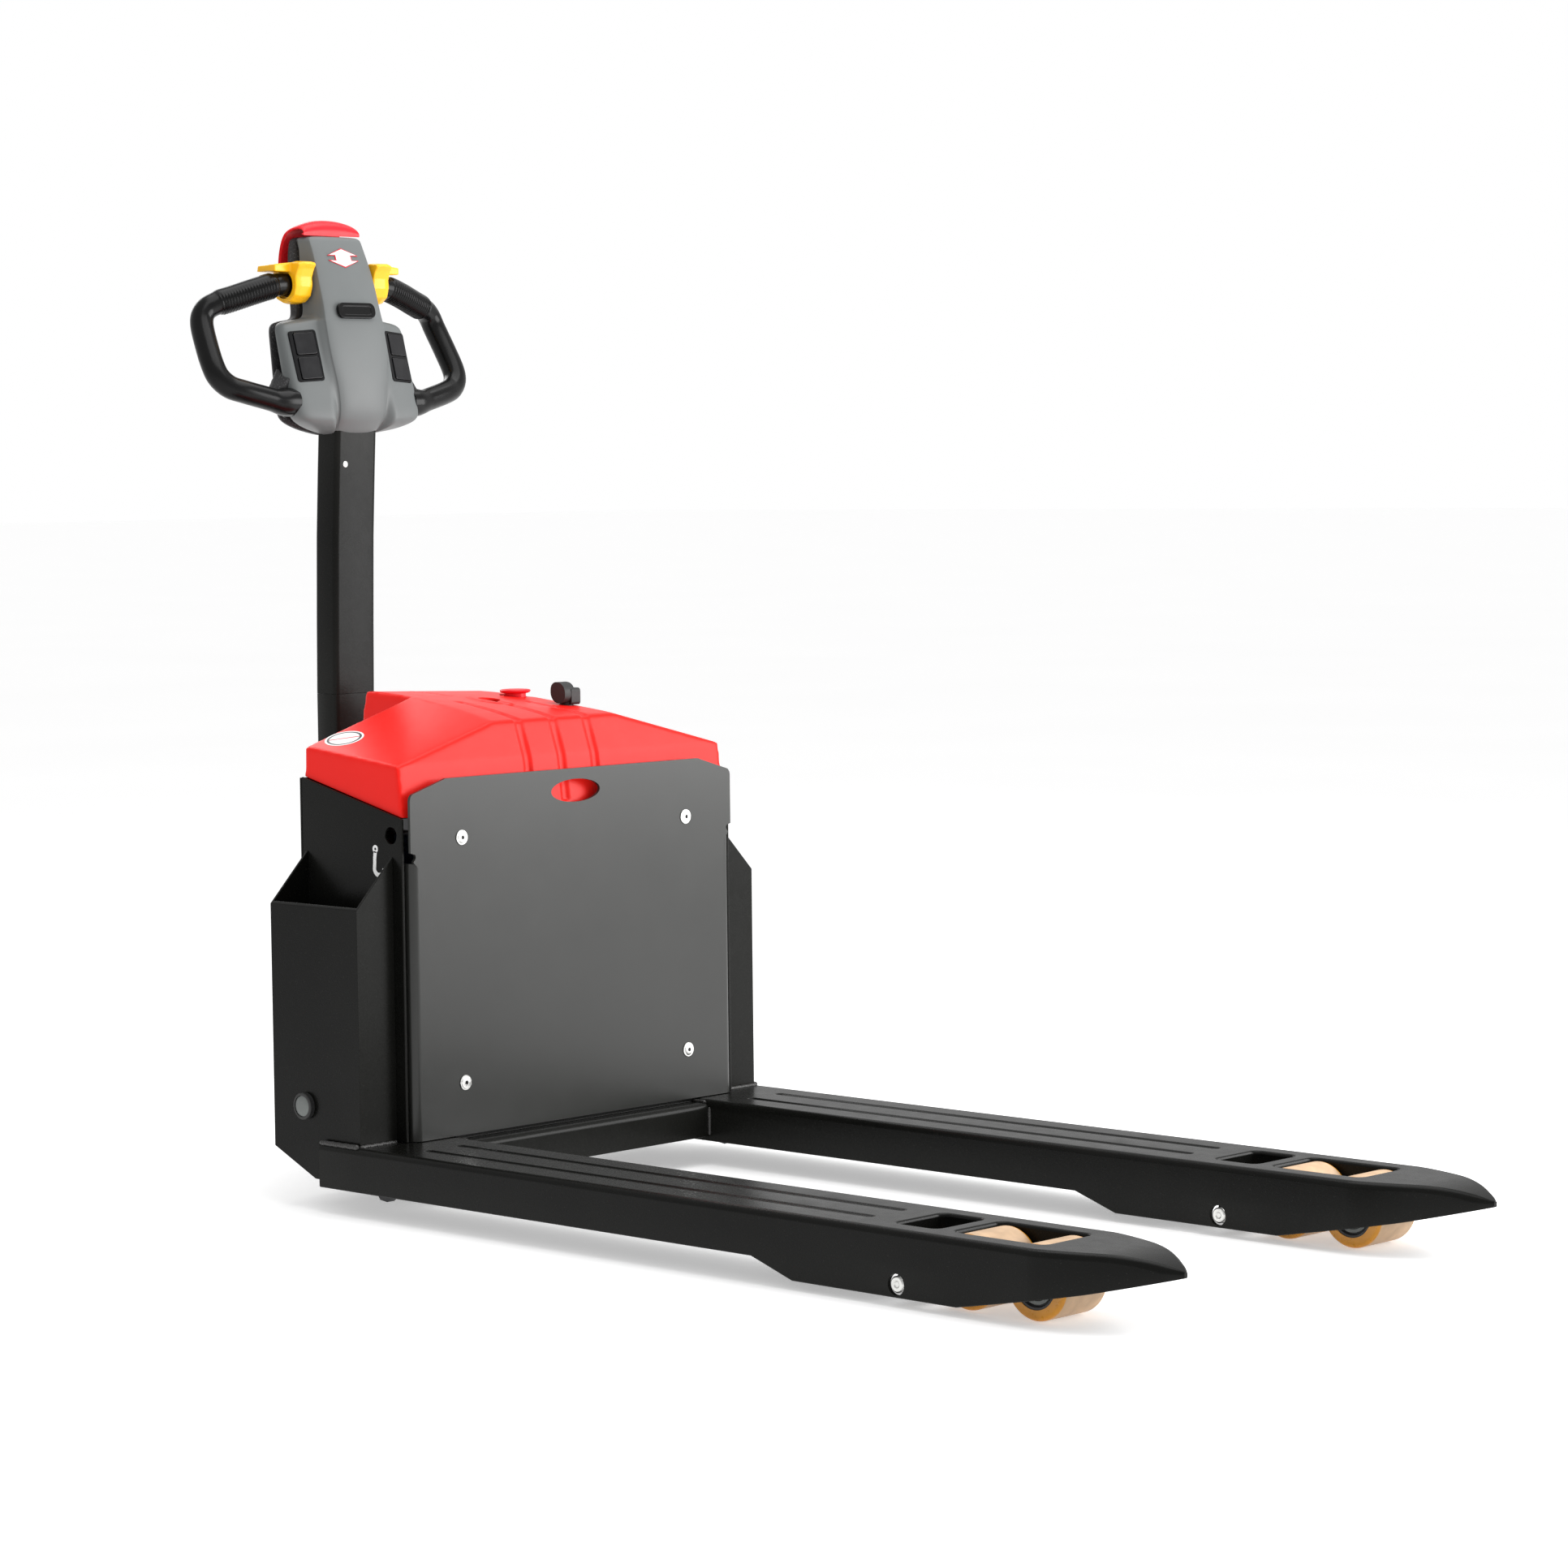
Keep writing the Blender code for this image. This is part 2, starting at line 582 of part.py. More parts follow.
def head_shell(name, front, slot):
    sections = []
    for station in HEAD_STATIONS:
        outer = head_half(station, front, 0)
        inner = head_half(station, front, HEAD_WALL)
        outline = outer + [(x, -y) for x, y in reversed(outer)]
        outline += inner_path(inner)
        sections.append([(x, y, station[0]) for x, y in outline])
    solid(name, loft(sections), slot, (PIVOT_X, 0, PIVOT_Z))


def inner_path(inner):
    return [(x, -y) for x, y in inner] + list(reversed(inner))


def handle_loop(name, side):
    """Closed hand loop: one bent tube from the head's side back to its lobe."""
    route = ((-436, 50.5, 1108), (-436, 94, 1108), (-448, 148, 1092), (-455, 175, 1084),
             (-458, 189, 1073), (-455, 195, 1058), (-441, 199, 1028), (-428, 201, 1004),
             (-421, 197, 990), (-415, 186, 979), (-409, 168, 973), (-401, 118, 961), (-401, 105, 961))
    data = bpy.data.curves.new(name, "CURVE")
    data.dimensions = "3D"
    data.bevel_depth = 14.5 * MM
    data.bevel_resolution = 3
    data.use_fill_caps = True
    data.render_resolution_u = 0
    spline = data.splines.new("POLY")
    spline.points.add(len(route) - 1)
    pivot = row((PIVOT_X, 0, PIVOT_Z))
    for point, (x, y, z) in zip(spline.points, route):
        point.co = (*(row((x, side * y, z)) - pivot), 1.0)
    data.materials.append(material("handle_plastic"))
    made = bpy.data.objects.new(name, data)
    made.location = pivot
    bpy.context.scene.collection.objects.link(made)


def thumb_throttle(name, side):
    """Butterfly wing: a sleeve round the handle with a thumb paddle."""
    pivot = (THROTTLE_X, 0, THROTTLE_Z)
    span = sorted((side * 51, side * 84))
    sleeve = disc(pivot, "Y", *span, 23.0, 20)
    wing = solid(name, sleeve, "yellow_plastic", pivot)
    blade = [(-440, 1118), (-456, 1126), (-456, 1132), (-430, 1131)]
    join(wing, prism(blade, "Y", *sorted((side * 51, side * 104))))
    lip = [(-420, 1118), (-411, 1126), (-408, 1120), (-413, 1096), (-420, 1092)]
    join(wing, prism(lip, "Y", *sorted((side * 51, side * 76))))
    cut(wing, disc(pivot, "Y", -120, 120, 16.0, 20))


def belly_button():
    """Red safety cap that wraps over the head's top and rear."""
    outer = [(-431, 1171), (-432, 1180), (-446, 1189), (-468, 1182), (-482, 1164), (-487, 1142),
             (-487, 1120)]
    inner = [(-479, 1120), (-479, 1142), (-476.5, 1158), (-473, 1171), (-465, 1175), (-446, 1178),
             (-434, 1171.5)]
    cap = prism(outer + inner, "Y", -46, 46)
    solid("belly_button", cap, "red_plastic", (-470, 0, 1150))


BUTTONS = (("raise_button", 1, 1032), ("horn_button", 1, 1000),
           ("lower_button", -1, 1032), ("slow_button", -1, 1000))


def head_buttons():
    for name, side, up in BUTTONS:
        lean = 0.30
        front = -387 - (up - 985) * lean
        outline = [(front + 14 * lean, up - 14), (front - 14 * lean, up + 14),
                   (front - 14 * lean - 5, up + 14), (front + 14 * lean - 5, up - 14)]
        outline = [(x + 6, z) for x, z in outline]
        span = sorted((side * 60, side * 90))
        solid(name, prism(outline, "Y", *span), "button_plastic", (front, side * 75, up))
    lean = 0.30
    window = [(-384, 1067), (-389, 1084), (-392, 1083), (-387, 1066)]
    window = [(x + 2, z) for x, z in window]
    solid("battery_display", prism(window, "Y", -23.5, 23.5), "display_glass",
          (PIVOT_X, 0, PIVOT_Z))


# --------------------------------------------------------- top controls
def top_controls():
    estop = [(560, 10), (600.5, 10), (600.6, 17), (601.5, 19), (604, 19.5), (605, 18)]
    solid("emergency_stop", turned(estop, (-190, 80, 0), "Z", segments=20), "red_plastic",
          (-190, 80, 590))
    key = turned([(560, 12), (580, 12)], (-150, 0, 0), "Z", segments=16)
    switch = solid("key_switch", key, "button_plastic", (-150, 0, 575))
    join(switch, box((-156, -1.6, 578), (-144, 1.6, 590)))
    grip = [(-92, 584), (-92, 602), (-98, 608), (-119, 611), (-123, 607), (-123, 591), (-121, 588.5)]
    plug = solid("charger_plug", prism(grip, "Y", 74, 104), "black_rubber", (-107, 90, 590))
    join(plug, disc((-107, 90, 0), "Z", 560, 595, 8.0, 16))


def build():
    for name, side in SIDES:
        fork(f"fork_{name}", side)
        arm_pin(f"arm_pin_{name}", side)
        side_panel(f"side_panel_{name}", side)
        side_pocket(f"side_pocket_{name}", side)
        push_rod(f"push_rod_{name}", side)
        roller_arm(f"roller_arm_{name}", side)
        bogie(f"bogie_{name}", side)
        load_roller(f"load_roller_{name}_front", side, ROLLER_PITCH / 2)
        load_roller(f"load_roller_{name}_rear", side, -ROLLER_PITCH / 2)
        handle_loop(f"handle_loop_{name}", side)
        thumb_throttle(f"thumb_throttle_{name}", side)
    cross_member()
    front_plate()
    plate_bolts()
    rear_bulkhead()
    battery_tray()
    inside_box("battery_pack", (-94, -215, 128.4), (-16, 215, 440), "battery_case")
    wall = BODY_HALF - GAP
    inside_box("motor_controller", (-168, 165, 300), (-106, wall, 440), "cast_metal")
    inside_box("battery_charger", (-168, -wall, 300), (-106, -165, 440), "cast_metal")
    inside_box("hydraulic_pump", (-175, 165, 130), (-106, wall, 285), "frame_paint", 8.0)
    lift_crossbeam()
    lift_cylinder()
    top_cover()
    rocker_shaft()
    drive_frame()
    drive_unit()
    tiller_bracket()
    tiller_stem()
    head_shell("head_front_shell", True, "head_plastic")
    head_shell("head_rear_shell", False, "dark_plastic")
    belly_button()
    head_buttons()
    top_controls()


for leftover in list(bpy.data.objects):
    bpy.data.objects.remove(leftover)
build()
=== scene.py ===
"""Looks of the powered pallet jack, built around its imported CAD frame.

Shapes are drawn in millimetres, measured from the front plate's face (x), the
centre plane (y) and the floor (z).  row() turns them into the frame's metres.
"""
from math import cos, pi, radians, sin

import bmesh
import bpy
from mathutils import Matrix, Vector


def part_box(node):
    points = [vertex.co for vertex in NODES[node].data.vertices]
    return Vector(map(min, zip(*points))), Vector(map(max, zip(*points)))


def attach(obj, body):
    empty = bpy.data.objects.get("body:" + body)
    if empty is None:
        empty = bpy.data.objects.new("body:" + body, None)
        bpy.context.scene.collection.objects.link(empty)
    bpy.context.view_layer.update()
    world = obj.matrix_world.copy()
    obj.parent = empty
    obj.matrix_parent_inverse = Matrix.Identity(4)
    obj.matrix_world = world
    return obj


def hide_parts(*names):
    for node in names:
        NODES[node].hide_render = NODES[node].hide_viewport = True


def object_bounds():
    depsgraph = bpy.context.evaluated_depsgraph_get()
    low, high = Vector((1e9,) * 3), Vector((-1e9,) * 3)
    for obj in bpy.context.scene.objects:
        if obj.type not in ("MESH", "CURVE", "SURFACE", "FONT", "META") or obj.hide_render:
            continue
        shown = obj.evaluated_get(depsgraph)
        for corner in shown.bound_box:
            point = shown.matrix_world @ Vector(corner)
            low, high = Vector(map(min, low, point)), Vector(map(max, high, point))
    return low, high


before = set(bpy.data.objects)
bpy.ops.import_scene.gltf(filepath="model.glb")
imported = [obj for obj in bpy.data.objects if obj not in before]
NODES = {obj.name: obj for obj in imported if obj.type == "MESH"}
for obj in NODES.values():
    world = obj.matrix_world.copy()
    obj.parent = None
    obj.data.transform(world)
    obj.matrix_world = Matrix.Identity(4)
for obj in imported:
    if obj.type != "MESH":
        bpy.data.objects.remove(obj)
CAD_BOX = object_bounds()
SCENE = bpy.context.scene

MM = 0.001
PLATE_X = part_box("front_plate")[1].x
SIDES = (("left", 1), ("right", -1))

FORK_LOW, FORK_HIGH = (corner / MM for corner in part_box("fork_left"))
FORK_Y = (FORK_LOW.y + FORK_HIGH.y) / 2
FORK_HALF = (FORK_HIGH.y - FORK_LOW.y) / 2
FORK_TOP = FORK_HIGH.z
FORK_REAR = FORK_LOW.x - PLATE_X / MM
FORK_TIP = FORK_HIGH.x - PLATE_X / MM
PANEL_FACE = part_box("side_panel_left")[1].y / MM
POCKET_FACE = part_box("side_pocket_left")[1].y / MM
COVER_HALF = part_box("top_cover")[1].y / MM


# ---------------------------------------------------------------- helpers
def row(point):
    return Vector((point[0] * MM + PLATE_X, point[1] * MM, point[2] * MM))


def centre_and_half(node):
    """Middle and half size of a CAD node, in this script's millimetres."""
    low, high = (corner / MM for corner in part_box(node))
    centre = ((low.x + high.x) / 2 - PLATE_X / MM, (low.y + high.y) / 2, (low.z + high.z) / 2)
    return centre, ((high.x - low.x) / 2, (high.y - low.y) / 2, (high.z - low.z) / 2)


def mirror(outline):
    """The same outline across its first axis, in reverse order."""
    return [(-across, up) for across, up in reversed(outline)]


def loft(sections, closed=False):
    """Skin between outlines with the same number of points."""
    mesh = bmesh.new()
    rings = [[mesh.verts.new(point) for point in section] for section in sections]
    count = len(rings[0])
    pairs = list(zip(rings, rings[1:]))
    if closed:
        pairs.append((rings[-1], rings[0]))
    for first, second in pairs:
        for index in range(count):
            after = (index + 1) % count
            mesh.faces.new((first[index], first[after], second[after], second[index]))
    if not closed:
        mesh.faces.new(rings[0])
        mesh.faces.new(reversed(rings[-1]))
    return mesh


def prism(outline, axis, low, high):
    """Extrude an outline along X, Y or Z; its points leave that axis out."""
    place = {
        "X": lambda a, b, depth: (depth, a, b),
        "Y": lambda a, b, depth: (a, depth, b),
        "Z": lambda a, b, depth: (a, b, depth),
    }[axis]
    return loft([[place(a, b, depth) for a, b in outline] for depth in (low, high)])


def box(low, high):
    outline = [(low[0], low[1]), (high[0], low[1]), (high[0], high[1]), (low[0], high[1])]
    return prism(outline, "Z", low[2], high[2])


def hull(points):
    mesh = bmesh.new()
    verts = [mesh.verts.new(point) for point in points]
    result = bmesh.ops.convex_hull(mesh, input=verts)
    spare = [item for item in result["geom_interior"] if isinstance(item, bmesh.types.BMVert)]
    bmesh.ops.delete(mesh, geom=spare, context="VERTS")
    return mesh


def arc(centre, radius, start, end, steps):
    turn = [radians(start + (end - start) * step / steps) for step in range(steps + 1)]
    return [(centre[0] + radius * cos(angle), centre[1] + radius * sin(angle)) for angle in turn]


def rounded(low, high, radius, steps=5):
    """Outline of a rectangle with round corners."""
    corners = ((high[0] - radius, high[1] - radius, 0), (low[0] + radius, high[1] - radius, 90),
               (low[0] + radius, low[1] + radius, 180), (high[0] - radius, low[1] + radius, 270))
    outline = []
    for across, up, start in corners:
        outline += arc((across, up), radius, start, start + 90, steps)
    return outline


def turned(profile, centre, axis, bore=0.0, segments=48):
    """Turn (along, radius) steps about an axis, with a bore right through if asked."""
    def ring(along, radius):
        points = []
        for index in range(segments):
            angle = 2 * pi * index / segments
            first, second = radius * cos(angle), radius * sin(angle)
            points.append({
                "X": (centre[0] + along, centre[1] + first, centre[2] + second),
                "Y": (centre[0] + first, centre[1] + along, centre[2] + second),
                "Z": (centre[0] + first, centre[1] + second, centre[2] + along),
            }[axis])
        return points

    sections = [ring(along, radius) for along, radius in profile]
    if not bore:
        return loft(sections)
    sections += [ring(along, bore) for along in (profile[-1][0], profile[0][0])]
    return loft(sections, closed=True)


def disc(centre, axis, low, high, radius, segments=32):
    return turned([(low, radius), (high, radius)], centre, axis, segments=segments)


def smooth_path(points, steps):
    """Catmull-Rom curve through a list of points."""
    knots = [Vector(point) for point in points]
    knots = [2 * knots[0] - knots[1]] + knots + [2 * knots[-1] - knots[-2]]
    path = []
    for before, first, second, after in zip(knots, knots[1:], knots[2:], knots[3:]):
        for step in range(steps):
            t = step / steps
            path.append(0.5 * (2 * first + (second - before) * t
                               + (2 * before - 5 * first + 4 * second - after) * t * t
                               + (3 * first - before - 3 * second + after) * t ** 3))
    return path + [knots[-2]]


def step_up(value, low, high):
    """0 below low, 1 above high and a smooth rise between."""
    t = min(1.0, max(0.0, (value - low) / (high - low)))
    return t * t * (3 - 2 * t)


def tube(path, radius, segments=20):
    """Mesh tube along a path; radius is a function of (index, direction)."""
    sections = []
    for index, point in enumerate(path):
        ahead = path[min(index + 1, len(path) - 1)] - path[max(index - 1, 0)]
        along = ahead.normalized()
        first = along.cross(Vector((0, 0, 1)))
        if first.length < 0.2:
            first = along.cross(Vector((1, 0, 0)))
        first.normalize()
        second = along.cross(first)
        ring = []
        for step in range(segments):
            angle = 2 * pi * step / segments
            outward = first * cos(angle) + second * sin(angle)
            ring.append(point + outward * radius(index, outward))
        sections.append(ring)
    return loft(sections)


def add_object(name, data):
    made = bpy.data.objects.new(name, data)
    SCENE.collection.objects.link(made)
    return made


def add_mesh(name, mesh):
    """Turn a bmesh in millimetres into an object in the frame's metres."""
    bmesh.ops.recalc_face_normals(mesh, faces=mesh.faces)
    for vert in mesh.verts:
        vert.co = row(vert.co)
    data = bpy.data.meshes.new(name)
    mesh.to_mesh(data)
    mesh.free()
    return add_object(name, data)


def piece(name, mesh, look_name, body, replaces=(), angle=35):
    """Put a bmesh in the scene as a piece that rides on a CAD body."""
    made = add_mesh(name, mesh)
    made.data.materials.append(LOOKS[look_name])
    made.data.shade_smooth()
    made.data.set_sharp_from_angle(angle=radians(angle))
    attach(made, body)
    if replaces:
        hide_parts(*replaces)
    return made


def apply_changes(made, angle=35):
    """Turn an object's modifiers into its own mesh."""
    bpy.context.view_layer.update()
    graph = bpy.context.evaluated_depsgraph_get()
    mesh = bpy.data.meshes.new_from_object(made.evaluated_get(graph))
    made.modifiers.clear()
    made.data = mesh
    mesh.shade_smooth()
    mesh.set_sharp_from_angle(angle=radians(angle))


def carve(made, mesh, operation="DIFFERENCE", angle=35):
    """Cut a bmesh from a piece, or join it on."""
    tool = add_mesh("tool", mesh)
    change = made.modifiers.new("carve", "BOOLEAN")
    change.operation = operation
    change.object = tool
    apply_changes(made, angle)
    bpy.data.objects.remove(tool)


def flatten_shading(made, keep_sharp=False):
    """Smooth shading that keeps the flats flat."""
    made.data.shade_smooth()
    made.modifiers.new("flats", "WEIGHTED_NORMAL").keep_sharp = keep_sharp


def soften(made, width, segments=2, angle=40):
    """Round a piece's hard edges."""
    bevel = made.modifiers.new("soften", "BEVEL")
    bevel.width = width * MM
    bevel.segments = segments
    bevel.limit_method = "ANGLE"
    bevel.angle_limit = radians(angle)
    flatten_shading(made)


def refine(made, levels):
    change = made.modifiers.new("refine", "SUBSURF")
    change.levels = change.render_levels = levels
    made.data.shade_smooth()


def mould(made, voxel, rounds):
    """Remesh a solid and relax it, so that its edges become moulded radii."""
    remesh = made.modifiers.new("mould", "REMESH")
    remesh.mode = "VOXEL"
    remesh.voxel_size = voxel * MM
    relax = made.modifiers.new("relax", "SMOOTH")
    relax.factor = 0.5
    relax.iterations = rounds
    apply_changes(made, 60)


def placed(mesh, centre, across, up):
    """Move a bmesh drawn flat (x across, y up, z out) onto a face in space."""
    across, up = Vector(across).normalized(), Vector(up)
    out = across.cross(up).normalized()
    up = out.cross(across)
    turn = Matrix((across, up, out)).transposed().to_4x4()
    mesh.transform(Matrix.Translation(Vector(centre)) @ turn)
    return mesh


# -------------------------------------------------------------- materials
LOOKS = {}


def look(name, colour, roughness, metallic=0.0, mottle=0.06, patch=16.0, grain=900.0, relief=0.05,
         uneven=0.05, speckle=None, coat=0.0, worn=None, shine=0.5):
    """Procedural finish: mottled colour, uneven gloss, fine relief, optional specks and wear."""
    made = bpy.data.materials.new(name)
    made.use_nodes = True
    tree = made.node_tree
    add, link = tree.nodes.new, tree.links.new
    shader = tree.nodes["Principled BSDF"]
    shader.inputs["Metallic"].default_value = metallic
    shader.inputs["Coat Weight"].default_value = coat
    shader.inputs["Specular IOR Level"].default_value = shine
    place = add("ShaderNodeTexCoord").outputs["Object"]

    def noise(scale, detail=3.0):
        made_noise = add("ShaderNodeTexNoise")
        made_noise.inputs["Scale"].default_value = scale
        made_noise.inputs["Detail"].default_value = detail
        link(place, made_noise.inputs["Vector"])
        return made_noise.outputs["Fac"]

    def spread(value, low, high, to_low, to_high):
        made_range = add("ShaderNodeMapRange")
        limits = {"From Min": low, "From Max": high, "To Min": to_low, "To Max": to_high}
        for socket, number in limits.items():
            made_range.inputs[socket].default_value = number
        link(value, made_range.inputs["Value"])
        return made_range.outputs["Result"]

    def mixed(factor, first, second):
        made_mix = add("ShaderNodeMix")
        made_mix.data_type = "RGBA"
        link(factor, made_mix.inputs["Factor"])
        for socket, value in (("A", first), ("B", second)):
            target = [item for item in made_mix.inputs if item.name == socket and item.type == "RGBA"][0]
            if isinstance(value, tuple):
                target.default_value = (*value, 1.0)
            else:
                link(value, target)
        return [item for item in made_mix.outputs if item.type == "RGBA"][0]

    darker = tuple(part * (1 - mottle) for part in colour)
    lighter = tuple(min(1.0, part * (1 + mottle)) for part in colour)
    shade = mixed(spread(noise(patch), 0.35, 0.65, 0.0, 1.0), darker, lighter)
    if speckle:
        specks = spread(noise(grain * 0.9, 1.0), speckle[1], speckle[1] + 0.06, 0.0, 0.8)
        shade = mixed(specks, shade, speckle[0])
    if worn:
        edges = spread(add("ShaderNodeNewGeometry").outputs["Pointiness"], 0.51, 0.58, 0.0, worn[1])
        shade = mixed(edges, shade, worn[0])
    link(shade, shader.inputs["Base Color"])
    link(spread(noise(patch * 4), 0.3, 0.7, roughness - uneven, roughness + uneven),
         shader.inputs["Roughness"])
    bump = add("ShaderNodeBump")
    bump.inputs["Strength"].default_value = relief
    bump.inputs["Distance"].default_value = 0.0006
    link(noise(grain, 2.0), bump.inputs["Height"])
    link(bump.outputs["Normal"], shader.inputs["Normal"])
    LOOKS[name] = made


def make_looks():
    look("frame_coat", (0.0034, 0.0035, 0.0030), 0.27, relief=0.16, grain=700, mottle=0.12,
         speckle=((0.020, 0.020, 0.018), 0.70), worn=((0.020, 0.020, 0.018), 0.35), uneven=0.02,
         shine=0.10)
    look("plate_coat", (0.020, 0.0205, 0.0188), 0.30, relief=0.10, grain=800, mottle=0.05, patch=7,
         uneven=0.012, shine=0.40)
    look("cover_red", (0.76, 0.012, 0.008), 0.32, relief=0.20, grain=620, mottle=0.03, patch=10,
         uneven=0.02, shine=0.14)
    look("head_grey", (0.122, 0.131, 0.131), 0.42, relief=0.15, grain=950, mottle=0.03, uneven=0.02,
         shine=0.3)
    look("shell_black", (0.020, 0.020, 0.021), 0.55, relief=0.4, grain=650,
         speckle=((0.085, 0.085, 0.088), 0.60), shine=0.25)
    look("guard_black", (0.014, 0.014, 0.0145), 0.50, relief=0.3, grain=520, mottle=0.10, shine=0.3)
    look("key_black", (0.006, 0.006, 0.007), 0.22, relief=0.02, grain=1200, shine=0.4)
    look("cap_red", (0.74, 0.014, 0.024), 0.30, relief=0.03, mottle=0.03, shine=0.22)
    look("throttle_yellow", (0.90, 0.46, 0.010), 0.26, relief=0.02, mottle=0.03, shine=0.3)
    look("grip_black", (0.0030, 0.0030, 0.0031), 0.25, relief=0.0, grain=300, mottle=0.08,
         uneven=0.02, shine=0.18)
    look("panel_gloss", (0.0055, 0.0055, 0.006), 0.12, relief=0.02, shine=0.25)
    look("window_black", (0.003, 0.003, 0.003), 0.07, relief=0.0, grain=300, uneven=0.0, shine=0.3)
    look("zinc", (0.66, 0.66, 0.64), 0.30, metallic=1.0, relief=0.06, mottle=0.08, patch=60)
    look("casting", (0.045, 0.045, 0.047), 0.55, metallic=0.2, relief=0.55, grain=420, mottle=0.15)
    look("ground_steel", (0.56, 0.56, 0.57), 0.24, metallic=1.0, relief=0.05, grain=1500)
    look("urethane", (0.60, 0.25, 0.012), 0.30, relief=0.06, grain=500, mottle=0.10, patch=40)
    look("worn_urethane", (0.50, 0.335, 0.20), 0.50, relief=0.15, grain=600, mottle=0.12, patch=60)
    look("hub_grey", (0.13, 0.14, 0.135), 0.40, metallic=0.5, relief=0.2, grain=700, mottle=0.12)
    look("tyre_black", (0.030, 0.029, 0.028), 0.62, relief=0.45, grain=520, mottle=0.15, patch=50)
    look("battery_blue", (0.030, 0.045, 0.080), 0.48, relief=0.25, grain=600)
    look("rubber", (0.012, 0.012, 0.012), 0.60, relief=0.30, grain=700)
    for name, colour in (("white", (0.80, 0.80, 0.79)), ("red", (0.62, 0.015, 0.03)),
                         ("dark", (0.025, 0.025, 0.027)), ("pale", (0.42, 0.43, 0.43))):
        look(f"print_{name}", colour, 0.45, relief=0.02, mottle=0.03)
    look("weld", (0.024, 0.023, 0.022), 0.36, relief=0.5, grain=380, mottle=0.2)


# ---------------------------------------------------- CAD nodes that stay
NODE_LOOKS = {
    "frame_coat": (("cross_member", 1.2), ("rear_bulkhead", 0.8), ("battery_tray", 0.8),
                   ("lift_crossbeam", 1.0), ("drive_frame", 1.2), ("lift_cylinder", 0.8),
                   ("side_panel_left", 0.9), ("side_panel_right", 0.9),
                   ("side_pocket_left", 0.9), ("side_pocket_right", 0.9), ("hydraulic_pump", 0.0)),
    "casting": (("motor_controller", 0.0), ("battery_charger", 0.0), ("rocker_shaft", 0.8),
                ("gearbox_housing", 1.0), ("drive_motor", 1.0), ("tiller_bracket", 1.0),
                ("push_rod_left", 0.8), ("push_rod_right", 0.8), ("roller_arm_left", 0.8),
                ("roller_arm_right", 0.8)),
    "hub_grey": (("drive_hub", 1.0),),
    "tyre_black": (("drive_tyre", 1.5),),
    "guard_black": (("wheel_guard", 1.0),),
    "ground_steel": (("slewing_ring", 0.8),),
    "zinc": (("bogie_left", 0.7), ("bogie_right", 0.7), ("tiller_pin", 0.8)),
    "battery_blue": (("battery_pack", 0.0),),
}


def dress_nodes():
    """Give the CAD nodes that stay visible their finish and softened edges."""
    for name, nodes in NODE_LOOKS.items():
        for node, edge in nodes:
            made = NODES[node]
            made.data.materials.clear()
            made.data.materials.append(LOOKS[name])
            weld = made.modifiers.new("weld", "WELD")
            weld.merge_threshold = 0.02 * MM
            if edge:
                soften(made, edge)
            else:
                flatten_shading(made)


# ------------------------------------------------------------------ forks
TAPER_START, NOSE_START = 1005.0, 1068.0
WINDOWS = ((794, 853), (875, 998))
PIN_X, PIN_Z = 823, 24


def fork_section(x, middle):
    """Outline of the folded channel at one place along the fork."""
    t = max(0.0, (x - TAPER_START) / (FORK_TIP - TAPER_START))
    half = max(2.5, FORK_HALF * (1 - t ** 1.25) ** 0.7)
    s = max(0.0, (x - NOSE_START) / (FORK_TIP - NOSE_START))
    top = FORK_TOP - 16 * s ** 2.4
    if x < 614:
        bottom = 30.0
    elif x < 674:
        bottom = 30 - (x - 614) / 3
    else:
        bottom = 10 + 0.19 * max(0.0, x - 905) + 3.4 * max(0.0, (x - 1060) / 90) ** 1.2
    radius = min(8.0, (top - bottom) / 2.2, half * 0.8)
    edge = [(half, bottom + 1.0), (half, (top + bottom) / 2)]
    edge += arc((half - radius, top - radius), radius, 0, 90, 6)
    edge = [(half - 1.0, bottom)] + edge
    outline = edge + mirror(edge)
    return [(x, middle + across, up) for across, up in outline]


def window_tool(low, high, middle, half, radius, flare, floor):
    """Cutter for a window with a rolled edge at the top."""
    sections = [(floor, 0.0)]
    for step in range(6):
        angle = radians(90 * step / 5)
        sections.append((FORK_TOP - flare + flare * sin(angle), flare * (1 - cos(angle))))
    sections.append((FORK_TOP + 5, flare))
    outlines = []
    for up, grow in sections:
        flat = rounded((low - grow, middle - half - grow), (high + grow, middle + half + grow),
                       radius + grow)
        outlines.append([(x, y, up) for x, y in flat])
    return loft(outlines)


